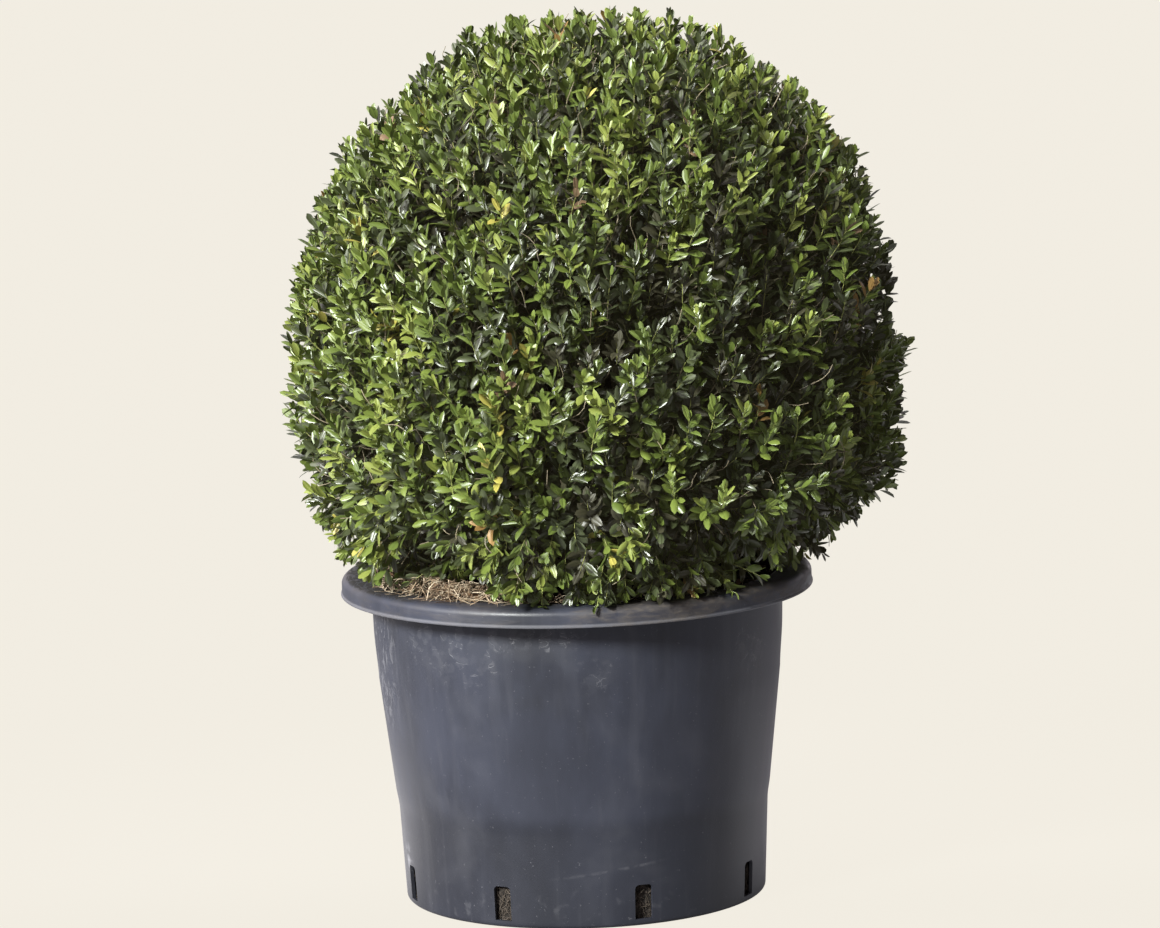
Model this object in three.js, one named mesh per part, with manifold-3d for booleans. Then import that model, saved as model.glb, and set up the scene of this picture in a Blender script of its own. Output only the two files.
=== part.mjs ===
// A clipped box ball in its round nursery pot, in millimetres, +Z up.
// The origin is the centre of the pot's flat underside and the front faces -Y.
// The pot is one moulding, held here as its wall, its rounded rim and the skirt turned down from it,
// so that the space under the rim stays open. In it are the root ball, the short stem and the foliage.
import * as THREE from "three";
import { mergeVertices } from "three/addons/utils/BufferGeometryUtils.js";
import Module from "manifold-3d";

const wasm = await Module();
wasm.setup();

// Pot
const POT_HEIGHT = 313;
const RIM_RADIUS = 224;
const RIM_DROP = 18; // from the top of the rim to the lower edge of its skirt
const RIM_THICKNESS = 3;
const RIM_ROUND_REACH = 12;
const RIM_ROUND_HEIGHT = 8;
const SKIRT_BEAD = { reach: 1, height: 2.5 };
const WALL_THICKNESS = 3.5;
const FLOOR_THICKNESS = 5;
const FOOT_EDGE_RADIUS = 4;
const ROUND_STEPS = 3; // chords in each rounded quarter of the section
const TURN_SEGMENTS = 56;

// The outside of the wall, from the foot up: each stretch starts at a stacking shoulder
const FOOT_RADIUS = 172;
const LOWER_SHOULDER = { height: 88, radius: 176.3, step: 3.2, rise: 22 };
const COLLAR = { height: 214, radius: 191.6, step: 3.4, rise: 46 };
const WALL_TOP_RADIUS = 196.5;

// Drainage slots round the foot
const SLOT_COUNT = 8;
const SLOT_FIRST_ANGLE = 18; // degrees from the front, towards +X
const SLOT_WIDTH = 17;
const SLOT_HEIGHT = 33;
const SLOT_BOTTOM = 6.5;
const SLOT_CORNER = 4;

// Root ball
const SOIL_DEPTH_BELOW_RIM = 14;

// Stem
const STEM_LENGTH = 165;
const STEM_FOOT_RADIUS = 20;
const STEM_TOP_RADIUS = 14;
const STEM_FLARE = 13; // how far the root flare stands out at the soil
const STEM_FLARE_HEIGHT = 22;
const STEM_FOOT = new THREE.Vector2(8, 4);
const STEM_LEAN = 14; // how far the tip lies towards +X from the foot
const STEM_FLUTES = 5;
const STEM_SEGMENTS = 20;
const STEM_LEVELS = 12;

// Foliage
const BALL_RADIUS = 297;
const BALL_RISE = 315; // from the widest level up to the crown
const BALL_FALL = 300; // the curve below the widest level, before it flattens over the pot
const FULLNESS_ABOVE = 2.06; // close to an ellipse
const FULLNESS_BELOW = 2.4; // a little squarer than one
const BALL_CENTRE = new THREE.Vector3(25, 0, 528);
const UNDERSIDE_LEVEL = POT_HEIGHT + 4;
const UNDERSIDE_SOFTNESS = 9;
const UNDERSIDE_SHIFT = new THREE.Vector2(-18, 14); // the lowest foliage hangs to the left and back
const UNDERSIDE_SHIFT_HEIGHT = 35;
const BALL_DETAIL = 12;
const UNEVEN_WAVES = 32;
const UNEVEN_HEIGHT = 0.8; // of each wave
const UNEVEN_SLOWEST = 7;
const UNEVEN_FASTEST = 26;

const FIT_GAP = 0.3; // left between pieces that touch
const SOIL_LEVEL = POT_HEIGHT - SOIL_DEPTH_BELOW_RIM;
const GOLDEN_ANGLE = Math.PI * (3 - Math.sqrt(5));

// ---------- solids and meshes ----------

// Only the positions count in a solid, with the shared ones merged.
function closedGeometry(geometry) {
  geometry.deleteAttribute("normal");
  geometry.deleteAttribute("uv");
  return mergeVertices(geometry, 1e-3);
}

function solidFrom(geometry) {
  const closed = closedGeometry(geometry);
  return new wasm.Manifold(
    new wasm.Mesh({
      numProp: 3,
      vertProperties: closed.attributes.position.array,
      triVerts: new Uint32Array(closed.index.array),
    }),
  );
}

function geometryFrom(solid) {
  const mesh = solid.getMesh();
  const geometry = new THREE.BufferGeometry();
  geometry.setAttribute("position", new THREE.BufferAttribute(mesh.vertProperties, 3));
  geometry.setIndex(new THREE.BufferAttribute(mesh.triVerts, 1));
  geometry.computeVertexNormals();
  return geometry;
}

function namedMesh(name, geometry, finish) {
  const mesh = new THREE.Mesh(geometry, new THREE.MeshStandardMaterial(finish));
  mesh.name = name;
  return mesh;
}

// Turns a section of (radius, height) points about the upright axis.
function turned(section, segments) {
  const points = section.map(([radius, height]) => new THREE.Vector2(radius, height));
  return new THREE.LatheGeometry(points, segments).rotateX(Math.PI / 2);
}

// Points of a quarter ellipse, without its first one.
function quarterRound(centre, reach, fromAngle, toAngle) {
  const points = [];
  for (let i = 1; i <= ROUND_STEPS; i += 1) {
    const angle = fromAngle + ((toAngle - fromAngle) * i) / ROUND_STEPS;
    points.push([centre[0] + reach[0] * Math.cos(angle), centre[1] + reach[1] * Math.sin(angle)]);
  }
  return points;
}

// ---------- pot ----------

// The outside of the wall above the rounded foot edge, from the bottom up.
function wallOutside() {
  return [
    [FOOT_RADIUS, FOOT_EDGE_RADIUS],
    [LOWER_SHOULDER.radius, LOWER_SHOULDER.height],
    [LOWER_SHOULDER.radius + LOWER_SHOULDER.step, LOWER_SHOULDER.height + LOWER_SHOULDER.rise],
    [COLLAR.radius, COLLAR.height],
    [COLLAR.radius + COLLAR.step, COLLAR.height + COLLAR.rise],
    [WALL_TOP_RADIUS, POT_HEIGHT - RIM_DROP],
    [WALL_TOP_RADIUS, POT_HEIGHT - RIM_THICKNESS - FIT_GAP],
  ];
}

// The same line moved in by an inset, from the floor's level up to a given height.
function wallInside(inset, fromHeight, toHeight) {
  const line = wallOutside().map(([radius, height]) => [radius - inset, height]);
  const foot = [line[0][0], fromHeight];
  const between = line.slice(1).filter(([, height]) => height < toHeight);
  const top = [line[line.length - 1][0], toHeight];
  return [foot, ...between, top];
}

function wallSection() {
  const edgeCentre = [FOOT_RADIUS - FOOT_EDGE_RADIUS, FOOT_EDGE_RADIUS];
  const edgeReach = [FOOT_EDGE_RADIUS, FOOT_EDGE_RADIUS];
  const outside = wallOutside();
  const top = outside[outside.length - 1][1];
  return [
    [0, 0],
    [edgeCentre[0], 0],
    ...quarterRound(edgeCentre, edgeReach, -Math.PI / 2, 0),
    ...outside.slice(1),
    ...wallInside(WALL_THICKNESS, FLOOR_THICKNESS, top).reverse(),
    [0, FLOOR_THICKNESS],
  ];
}

// A plate over the wall, rounded down at its outer edge and a little at its inner one.
function rimSection() {
  const inner = WALL_TOP_RADIUS - WALL_THICKNESS;
  const under = POT_HEIGHT - RIM_THICKNESS;
  const lipCentre = [inner + RIM_THICKNESS, under];
  const roundCentre = [RIM_RADIUS - RIM_ROUND_REACH, POT_HEIGHT - RIM_ROUND_HEIGHT];
  const outerReach = [RIM_ROUND_REACH, RIM_ROUND_HEIGHT];
  const innerReach = outerReach.map((reach) => reach - RIM_THICKNESS);
  return [
    [inner, under],
    [roundCentre[0], under],
    ...quarterRound(roundCentre, innerReach, Math.PI / 2, 0),
    [RIM_RADIUS, roundCentre[1]],
    ...quarterRound(roundCentre, outerReach, 0, Math.PI / 2),
    [lipCentre[0], POT_HEIGHT],
    ...quarterRound(lipCentre, [RIM_THICKNESS, RIM_THICKNESS], Math.PI / 2, Math.PI),
  ];
}

// The band that hangs from the rim's outer edge, with a thin bead round its lower one.
function skirtSection() {
  const top = POT_HEIGHT - RIM_ROUND_HEIGHT - FIT_GAP;
  const bottom = POT_HEIGHT - RIM_DROP;
  const inner = RIM_RADIUS - RIM_THICKNESS;
  return [
    [inner, top],
    [inner, bottom],
    [RIM_RADIUS + SKIRT_BEAD.reach, bottom],
    [RIM_RADIUS, bottom + SKIRT_BEAD.height],
    [RIM_RADIUS, top],
    [inner, top],
  ];
}

// One upright slot with rounded upper corners, long enough to pass right through the wall.
function slotCutter(angle) {
  const half = SLOT_WIDTH / 2;
  const top = SLOT_BOTTOM + SLOT_HEIGHT;
  const outline = new THREE.Shape();
  outline.moveTo(-half, SLOT_BOTTOM);
  outline.lineTo(half, SLOT_BOTTOM);
  outline.lineTo(half, top - SLOT_CORNER);
  outline.absarc(half - SLOT_CORNER, top - SLOT_CORNER, SLOT_CORNER, 0, Math.PI / 2);
  outline.absarc(-half + SLOT_CORNER, top - SLOT_CORNER, SLOT_CORNER, Math.PI / 2, Math.PI);
  outline.lineTo(-half, SLOT_BOTTOM);
  const reach = 8 * WALL_THICKNESS;
  const block = new THREE.ExtrudeGeometry(outline, {
    depth: reach,
    bevelEnabled: false,
    curveSegments: ROUND_STEPS,
  });
  block.rotateX(Math.PI / 2);
  block.translate(0, -(FOOT_RADIUS - reach / 2), 0);
  return solidFrom(block.rotateZ(angle));
}

function potWallGeometry() {
  let wall = solidFrom(turned(wallSection(), TURN_SEGMENTS));
  for (let i = 0; i < SLOT_COUNT; i += 1) {
    const angle = THREE.MathUtils.degToRad(SLOT_FIRST_ANGLE + (i * 360) / SLOT_COUNT);
    wall = wall.subtract(slotCutter(angle));
  }
  return geometryFrom(wall);
}

// ---------- root ball ----------

function rootBallGeometry() {
  const bottom = FLOOR_THICKNESS + FIT_GAP;
  const side = wallInside(WALL_THICKNESS + FIT_GAP, bottom, SOIL_LEVEL);
  return closedGeometry(turned([[0, bottom], ...side, [0, SOIL_LEVEL]], TURN_SEGMENTS));
}

// ---------- stem ----------

function stemRadius(height) {
  const taper = STEM_FOOT_RADIUS + (STEM_TOP_RADIUS - STEM_FOOT_RADIUS) * (height / STEM_LENGTH);
  return taper + STEM_FLARE * Math.exp(-height / STEM_FLARE_HEIGHT);
}

// A tapering stem that leans towards +X, with fluted root flare, grown by an allowance all round.
function stemGeometry(allowance) {
  const foot = SOIL_LEVEL + FIT_GAP;
  const section = [[0, 0]];
  for (let i = 0; i <= STEM_LEVELS; i += 1) {
    const height = (STEM_LENGTH * i) / STEM_LEVELS;
    section.push([stemRadius(height) + allowance, height]);
  }
  section.push([0.5 * STEM_TOP_RADIUS, STEM_LENGTH + 5 + allowance]);
  section.push([0, STEM_LENGTH + 7 + allowance]);
  const geometry = turned(section, STEM_SEGMENTS);
  const place = geometry.attributes.position;
  for (let i = 0; i < place.count; i += 1) {
    const [x, y, height] = [place.getX(i), place.getY(i), place.getZ(i)];
    const flareShare = Math.exp(-height / STEM_FLARE_HEIGHT);
    const flute = 1 + 0.12 * flareShare * Math.cos(STEM_FLUTES * Math.atan2(y, x));
    const lean = STEM_LEAN * (height / STEM_LENGTH);
    place.setXYZ(i, x * flute + STEM_FOOT.x + lean, y * flute + STEM_FOOT.y, height + foot);
  }
  return geometry;
}

// ---------- foliage ----------

// Waves in directions spread evenly over a sphere, each quicker than the last.
const unevenWaves = Array.from({ length: UNEVEN_WAVES }, (_, i) => {
  const up = 1 - (2 * (i + 0.5)) / UNEVEN_WAVES;
  const level = Math.sqrt(1 - up * up);
  const turn = i * GOLDEN_ANGLE;
  return {
    direction: new THREE.Vector3(level * Math.cos(turn), level * Math.sin(turn), up),
    speed: UNEVEN_SLOWEST + ((UNEVEN_FASTEST - UNEVEN_SLOWEST) * i) / UNEVEN_WAVES,
    phase: 7 * turn,
  };
});

function unevenness(direction) {
  let height = 0;
  for (const wave of unevenWaves) {
    height += Math.sin(wave.speed * wave.direction.dot(direction) + wave.phase);
  }
  return UNEVEN_HEIGHT * height;
}

// Rises from the flat level without a sharp corner.
function softFloor(value, level, softness) {
  return level + softness * Math.log1p(Math.exp((value - level) / softness));
}

// A clipped ball, a little taller than wide, full below and flattened where it rests over the rim.
function clippedBall() {
  const geometry = new THREE.IcosahedronGeometry(1, BALL_DETAIL);
  const place = geometry.attributes.position;
  const direction = new THREE.Vector3();
  for (let i = 0; i < place.count; i += 1) {
    direction.fromBufferAttribute(place, i).normalize();
    const above = direction.z > 0;
    const fullness = above ? FULLNESS_ABOVE : FULLNESS_BELOW;
    const across = Math.hypot(direction.x, direction.y) / BALL_RADIUS;
    const upright = Math.abs(direction.z) / (above ? BALL_RISE : BALL_FALL);
    const reach = (across ** fullness + upright ** fullness) ** (-1 / fullness) + unevenness(direction);
    const point = direction.clone().multiplyScalar(reach).add(BALL_CENTRE);
    point.z = softFloor(point.z, UNDERSIDE_LEVEL, UNDERSIDE_SOFTNESS);
    const low = Math.exp((UNDERSIDE_LEVEL - point.z) / UNDERSIDE_SHIFT_HEIGHT);
    place.setXYZ(i, point.x + low * UNDERSIDE_SHIFT.x, point.y + low * UNDERSIDE_SHIFT.y, point.z);
  }
  return geometry;
}

// The foliage closes round the stem.
function foliageGeometry() {
  const socket = solidFrom(stemGeometry(FIT_GAP));
  return geometryFrom(solidFrom(clippedBall()).subtract(socket));
}

// ---------- the plant and its pot ----------

const plastic = { color: 0x55585f, roughness: 0.45, metalness: 0 };
const earth = { color: 0x4a3526, roughness: 1, metalness: 0 };
const bark = { color: 0x7a6b52, roughness: 0.9, metalness: 0 };
const leaves = { color: 0x3f5a24, roughness: 0.6, metalness: 0 };

const pot = new THREE.Group();
pot.add(namedMesh("pot_wall", potWallGeometry(), plastic));
pot.add(namedMesh("pot_rim", closedGeometry(turned(rimSection(), TURN_SEGMENTS)), plastic));
pot.add(namedMesh("pot_skirt", closedGeometry(turned(skirtSection(), TURN_SEGMENTS)), plastic));

const group = new THREE.Group();
group.add(pot);
group.add(namedMesh("root_ball", rootBallGeometry(), earth));
group.add(namedMesh("stem", closedGeometry(stemGeometry(0)), bark));
group.add(namedMesh("foliage_ball", foliageGeometry(), leaves));

export default group;
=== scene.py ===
"""A clipped box ball in its round nursery pot, built around the packed model.

The sidebar panel has one step for each piece or group of like pieces, and one for the stage.
The foliage grows on from the stem by a seeded branching rule, so one seed always gives the same
plant. Sizes are in metres.
"""

import math
from types import SimpleNamespace

import bmesh
import bpy
import numpy as np
from bpy.props import FloatProperty, FloatVectorProperty, IntProperty, PointerProperty
from mathutils import Matrix, Vector
from mathutils.bvhtree import BVHTree


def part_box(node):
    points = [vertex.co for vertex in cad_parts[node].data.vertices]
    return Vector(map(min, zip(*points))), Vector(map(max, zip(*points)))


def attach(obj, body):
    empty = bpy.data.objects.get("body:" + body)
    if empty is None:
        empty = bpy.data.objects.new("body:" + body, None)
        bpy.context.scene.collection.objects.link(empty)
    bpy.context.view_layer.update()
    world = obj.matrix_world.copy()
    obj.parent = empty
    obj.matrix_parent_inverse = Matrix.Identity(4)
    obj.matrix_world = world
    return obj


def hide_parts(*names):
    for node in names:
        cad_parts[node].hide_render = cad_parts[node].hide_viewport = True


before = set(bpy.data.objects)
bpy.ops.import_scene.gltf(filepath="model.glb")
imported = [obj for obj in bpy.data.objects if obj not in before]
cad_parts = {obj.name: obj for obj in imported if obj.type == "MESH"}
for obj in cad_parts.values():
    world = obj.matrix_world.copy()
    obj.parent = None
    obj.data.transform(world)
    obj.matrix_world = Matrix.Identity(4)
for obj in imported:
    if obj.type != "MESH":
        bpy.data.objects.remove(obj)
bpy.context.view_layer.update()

bl_info = {
    "name": "Potted Box Ball",
    "version": (1, 0, 0),
    "blender": (4, 5, 0),
    "location": "3D View > Sidebar > Box Ball",
    "description": "Grows a clipped box ball on its stem and makes the nursery pot it stands in",
    "category": "Object",
}

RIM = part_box("pot_rim")
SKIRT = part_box("pot_skirt")
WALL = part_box("pot_wall")
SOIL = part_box("root_ball")
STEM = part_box("stem")
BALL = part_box("foliage_ball")

UPWARD = np.array((0.0, 0.0, 1.0))
GOLDEN_ANGLE = math.pi * (3 - math.sqrt(5))

# Where the shears cut closer or, below nought, less close: the place, its radius and how much.
CUTS = (
    ((-0.235, 0.0, 0.700), 0.055, 0.013),
    ((0.270, 0.0, 0.365), 0.055, -0.016),
    ((0.305, 0.0, 0.565), 0.030, -0.011),
)


# ---------- settings ----------


def length(name, default, description):
    """A size in metres."""
    return FloatProperty(
        name=name, description=description, default=default, min=0, unit="LENGTH", precision=4
    )


def place(name, default, description):
    """A point, in metres."""
    return FloatVectorProperty(name=name, description=description, default=default, size=3, unit="LENGTH")


def turn(name, degrees, description):
    """An angle, given in degrees and kept in radians."""
    return FloatProperty(name=name, description=description, default=math.radians(degrees), unit="ROTATION")


def share(name, default, description):
    """A share from 0 to 1."""
    return FloatProperty(name=name, description=description, default=default, min=0, max=1, subtype="FACTOR")


def number(name, default, description):
    """A plain number."""
    return FloatProperty(name=name, description=description, default=default)


def count(name, default, description):
    """How many there are of a thing."""
    return IntProperty(name=name, description=description, default=default, min=0)


def colour(name, default, description):
    """A linear colour."""
    return FloatVectorProperty(
        name=name, description=description, default=default, size=3, min=0, max=1, subtype="COLOR"
    )


class PotSettings(bpy.types.PropertyGroup):
    """Sizes and finish of the moulded pot."""

    wall_thickness: length("Wall", 0.0035, "Thickness of the wall")
    rim_thickness: length("Rim", 0.003, "Thickness of the rim and its skirt")
    rim_round_reach: length("Rim round, across", 0.009, "How far in the rim's rounded edge begins")
    rim_round_height: length("Rim round, down", 0.007, "How far down the rim's rounded edge ends")
    bead: length("Bead", 0.001, "How far the bead stands out round the skirt's lower edge")
    foot_radius: length("Foot radius", 0.172, "Radius of the wall above the rounded foot edge")
    foot_edge: length("Foot edge", 0.004, "Radius of the rounded edge round the underside")
    floor: length("Floor", 0.005, "Thickness of the floor")
    shoulder_height: length("Shoulder height", 0.088, "Height of the soft lower shoulder")
    shoulder_radius: length("Shoulder radius", 0.1763, "Radius of the wall below that shoulder")
    shoulder_step: length("Shoulder step", 0.0032, "How far the wall steps out there")
    shoulder_rise: length("Shoulder rise", 0.022, "Height over which it steps out")
    collar_height: length("Collar height", 0.214, "Height at which the wall begins to widen under the rim")
    collar_radius: length("Collar radius", 0.1916, "Radius of the wall there")
    collar_step: length("Collar step", 0.0034, "How far it widens")
    collar_rise: length("Collar rise", 0.046, "Height over which it widens")
    slot_count: count("Slots", 8, "Drainage slots round the foot")
    slot_first: turn("First slot", 18, "Turn of the first slot from the front, towards +X")
    slot_width: length("Slot width", 0.017, "Width of a slot")
    slot_height: length("Slot height", 0.033, "Height of a slot")
    slot_bottom: length("Slot bottom", 0.0065, "Height of a slot's lower edge")
    slot_corner: length("Slot corner", 0.004, "Radius of a slot's upper corners")
    out_of_round: length("Out of round", 0.0005, "How far the wall strays from a true circle")
    plastic_dark: colour("Plastic, dark", (0.0153, 0.0165, 0.0230), "Darker clouds of the slate plastic")
    plastic_light: colour("Plastic, light", (0.0355, 0.0392, 0.0580), "Lighter clouds of the slate plastic")
    # The dust film's colour also paints the floor's light low on the pot's right.
    film: colour("Dust film", (0.23, 0.23, 0.25), "Dust, lime and scuffs on the plastic")
    earth: colour("Earth", (0.105, 0.088, 0.074), "Earth dried on the rim")
    # Colour of the painted shade on the left end of the rim's top.
    painted_shade: colour("Damp", (0.012, 0.010, 0.009), "Damp earth at the left end of the rim")
    scrape_height: length("Scrape height", 0.052, "Height of the long scrape on the front, at the middle")
    scrape_slope: number("Scrape slope", 0.124, "How far the scrape climbs towards +X for each metre")
    lightened: place("Lightened patch", (-0.045, -0.178, 0.156), "Middle of the pale rubbed patch on the front")
    lightened_radius: length("Lightened radius", 0.066, "Radius of that patch")
    scratched_side: place("Scratched side", (-0.182, 0.0, 0.210), "Where the long scratches are thickest")
    chafed_patch: place("Chafed patch", (-0.168, -0.045, 0.046), "Middle of the stronger chafed patch")


class SoilSettings(bpy.types.PropertyGroup):
    """Root ball, its fibres and the litter on it."""

    seed: count("Seed", 7, "Seed of the root ball and the litter")
    recess: length("Recess", 0.0022, "How far the peat has drawn back from the wall")
    bank: length("Bank", 0.009, "How much higher the litter lies near the wall")
    bank_reach: length("Bank reach", 0.07, "How far in from the wall the bank begins")
    bank_width: turn("Bank width", 50, "Half the turn over which the bank dies away from the heap")
    heap: length("Heap", 0.006, "How much higher again the straws are heaped at one place")
    heap_turn: turn("Heap turn", -43, "Turn of the heap from the front, towards +X")
    heap_width: turn("Heap width", 31, "Half the turn that the heap fills")
    heap_share: share("Heap share", 0.55, "Share of the litter that lies there")
    crumb: length("Crumb", 0.0011, "Unevenness of the crumbly peat")
    fibres: count("Fibres", 30, "Root fibres behind each drainage slot")
    straws: count("Straws", 760, "Dry straws and old flower stalks on the root ball")
    straw_length: length("Straw length", 0.030, "Middle length of a straw")
    straw_radius: length("Straw radius", 0.00038, "Radius of a straw")
    old_leaves: count("Old leaves", 170, "Brown fallen leaves among the straws")
    peat_dark: colour("Peat, dark", (0.012, 0.010, 0.008), "Hollows of the peat")
    peat_light: colour("Peat, light", (0.060, 0.045, 0.035), "Crumbs of the peat")
    peat_fleck: colour("Peat flecks", (0.18, 0.15, 0.12), "Pale flecks in the peat")
    root_fibre: colour("Root fibres", (0.085, 0.066, 0.050), "Fine roots behind the slots")
    straw_pale: colour("Straw, pale", (0.62, 0.51, 0.37), "Driest straws")
    straw_tan: colour("Straw, tan", (0.33, 0.24, 0.155), "Tan straws")
    straw_brown: colour("Straw, brown", (0.13, 0.085, 0.055), "Straws that have begun to rot")
    old_leaf: colour("Old leaf", (0.20, 0.115, 0.06), "Fallen leaves")


class PlantSettings(bpy.types.PropertyGroup):
    """Stem, branching and foliage."""

    seed: count("Seed", 20, "Seed of the branching rule")
    stem_foot: place("Stem foot", (0.008, 0.004, 0.0), "Middle of the stem at the soil")
    stem_lean: length("Stem lean", 0.014, "How far the tip of the stem lies towards +X")
    stem_foot_radius: length("Stem foot radius", 0.020, "Radius of the stem above its flare")
    stem_top_radius: length("Stem top radius", 0.014, "Radius of the stem at its tip")
    stem_flare: length("Stem flare", 0.013, "How far the root flare stands out at the soil")
    stem_flare_height: length("Stem flare height", 0.022, "Height in which the flare dies away")
    bough_doublings: count("Bough doublings", 3, "Times the crown is halved to make the boughs")
    lowest_bough: share("Lowest bough", 0.25, "Where the lowest bough leaves the stem")
    fork_setback: number("Fork setback", 1.15, "How far before its foliage a limb forks, in spreads of it")
    bend: share("Bend", 0.05, "How far a fork strays, as a share of the limb")
    sprays_at_a_fork: count("Sprays at a fork", 3, "Most sprays that leave one last fork")
    twig_radius: length("Twig radius", 0.00062, "Radius of a limb that carries one spray")
    thickening: number("Thickening", 0.4, "Power by which a limb thickens with the sprays it carries")
    widest_share: share("Widest level", 0.4, "Height of the ball's widest level in its box")
    crown_count: count("Outer sprays", 2050, "Sprays whose tips make the clipped surface")
    between_count: count("Sprays between", 1750, "Shorter sprays set between those")
    inner_count: count("Inner sprays", 2300, "Sprays in the shade behind")
    bare_count: count("Bare twigs", 1100, "Cut twigs with no leaves")
    hollow_count: count("Hollows", 240, "Small dark hollows in the surface")
    hollow_depth: length("Hollow depth", 0.048, "How much deeper the sprays sit in a hollow")
    hollow_radius: length("Hollow radius", 0.016, "Radius of a hollow")
    open_side: place("Open side", (0.70, -0.90, 0.0), "Side on which the hollows crowd")
    open_share: share("Open share", 0.55, "Share of the hollows that crowd on that side")
    # The side whose sprays are painted darker, as painted shade.
    shadier_side: place("Shadier side", (0.8, -0.3, -0.45), "Side on which the leaves are older and darker")
    parting: place("Parting", (-0.145, -0.185, 0.315), "Where the foliage lifts off the heap of litter")
    parting_radius: length("Parting radius", 0.030, "Radius of that parting")
    overhang_count: count("Sprays over the rim", 24, "Sprays that droop over the rim in front")
    overhang_turn: turn("Overhang turn", 10, "Turn of their middle from the front, towards +X")
    overhang_width: turn("Overhang width", 34, "How far to either side they spread")
    leaf_length: length("Leaf length", 0.0188, "Length of a full leaf")
    leaf_width: length("Leaf width", 0.0086, "Width of a full leaf")
    # The deep and dark tones are also dealt out as painted shade, to sprays that lie deep, low and on the
    # shadier side.
    leaf_deep: colour("Leaf, deep", (0.047, 0.045, 0.024), "Oldest leaves, in the shade")
    leaf_dark: colour("Leaf, dark", (0.059, 0.073, 0.031), "Old leaves")
    leaf_mid: colour("Leaf, mid", (0.104, 0.145, 0.028), "Full-grown leaves")
    leaf_fresh: colour("Leaf, fresh", (0.151, 0.200, 0.038), "Fresh leaves")
    leaf_young: colour("Leaf, young", (0.222, 0.264, 0.055), "Newest leaves")
    leaf_yellow: colour("Leaf, yellow", (0.37, 0.33, 0.07), "Leaves that turn yellow")
    leaf_orange: colour("Leaf, orange", (0.31, 0.185, 0.06), "Leaves that turn orange")
    leaf_brown: colour("Leaf, brown", (0.20, 0.13, 0.075), "Leaves that have dried up")
    twig_green: colour("Twig, green", (0.30, 0.32, 0.10), "Stalks of this year")
    twig_tan: colour("Twig, tan", (0.30, 0.25, 0.17), "Stalks of last year")
    twig_grey: colour("Twig, grey", (0.26, 0.23, 0.18), "Old twigs")
    bark_dark: colour("Bark, dark", (0.07, 0.05, 0.034), "Cracks in the bark")
    bark_light: colour("Bark, light", (0.26, 0.21, 0.15), "Plates of the bark")
    lichen: colour("Lichen", (0.34, 0.36, 0.27), "Lichen on the bark")


class StageSettings(bpy.types.PropertyGroup):
    """Camera, lights and floor."""

    aim: place("Aim", (0.0066, 0.0, 0.4126), "Point that the camera looks at")
    camera_distance: length("Camera distance", 5.89, "Distance of the camera from its aim")
    camera_height: turn("Camera height", 8.83, "Angle of the camera above the horizon")
    camera_roll: turn("Camera roll", -1.8, "Turn of the camera about its own line of sight")
    lens: number("Lens", 192.4, "Focal length in millimetres on a 36 mm sensor")
    backdrop: colour("Backdrop", (0.888, 0.847, 0.761), "Colour of the floor and what lies behind")
    key_turn: turn("Key turn", -43, "Turn of the main light from the front, towards +X")
    key_height: turn("Key height", 29, "Angle of the main light above the horizon")
    key_size: turn("Key size", 14, "Width of the main light as seen from the plant")
    key_strength: number("Key strength", 7.2, "Strength of the main light")
    key_colour: colour("Key colour", (0.955, 0.985, 0.94), "Colour of the main light")
    fill: number("Fill", 0.114, "Strength of the light from all round")
    side_fill: number("Side fill", 2.6, "Strength of the soft light from the upper left")
    back_fill: number("Back fill", 1.1, "Strength of the soft light from behind")
    fill_colour: colour("Fill colour", (1.0, 0.92, 0.955), "Colour of those soft lights")
    floor_glow: number("Floor glow", 0.45, "Light that the floor sends back even in shadow")


# ---------- points, directions and noise ----------


def unit(vectors):
    """The vectors at length one."""
    size = np.linalg.norm(vectors, axis=-1, keepdims=True)
    return vectors / np.maximum(size, 1e-12)


def smoothstep(low, high, value):
    """0 below low, 1 above high and a smooth rise between."""
    along = np.clip((value - low) / (high - low), 0, 1)
    return along * along * (3 - 2 * along)


def even_directions(amount, rng, stray=0.9):
    """Directions spread evenly over a sphere, each strayed a little."""
    rank = np.arange(amount) + 0.5
    height = 1 - 2 * rank / amount
    level = np.sqrt(1 - height**2)
    around = rank * GOLDEN_ANGLE
    even = np.stack((level * np.cos(around), level * np.sin(around), height), axis=1)
    return unit(even + rng.normal(scale=stray / math.sqrt(amount), size=(amount, 3)))


def lumps(points, size, rng, waves=28):
    """A smooth random height of about -1 to 1 at each point, with lumps of the given size."""
    ways = unit(rng.normal(size=(waves, 3))) * (2 * math.pi / size)
    phases = rng.uniform(0, 2 * math.pi, waves)
    return np.sin(points @ ways.T + phases).sum(axis=-1) / math.sqrt(waves)


def around_axis(radius, angle, height):
    """Points about the pot's axis, with angles from the front (-Y) towards +X."""
    return np.stack((radius * np.sin(angle), -radius * np.cos(angle), height + 0 * radius), axis=-1)


# ---------- meshes and pieces ----------


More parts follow.
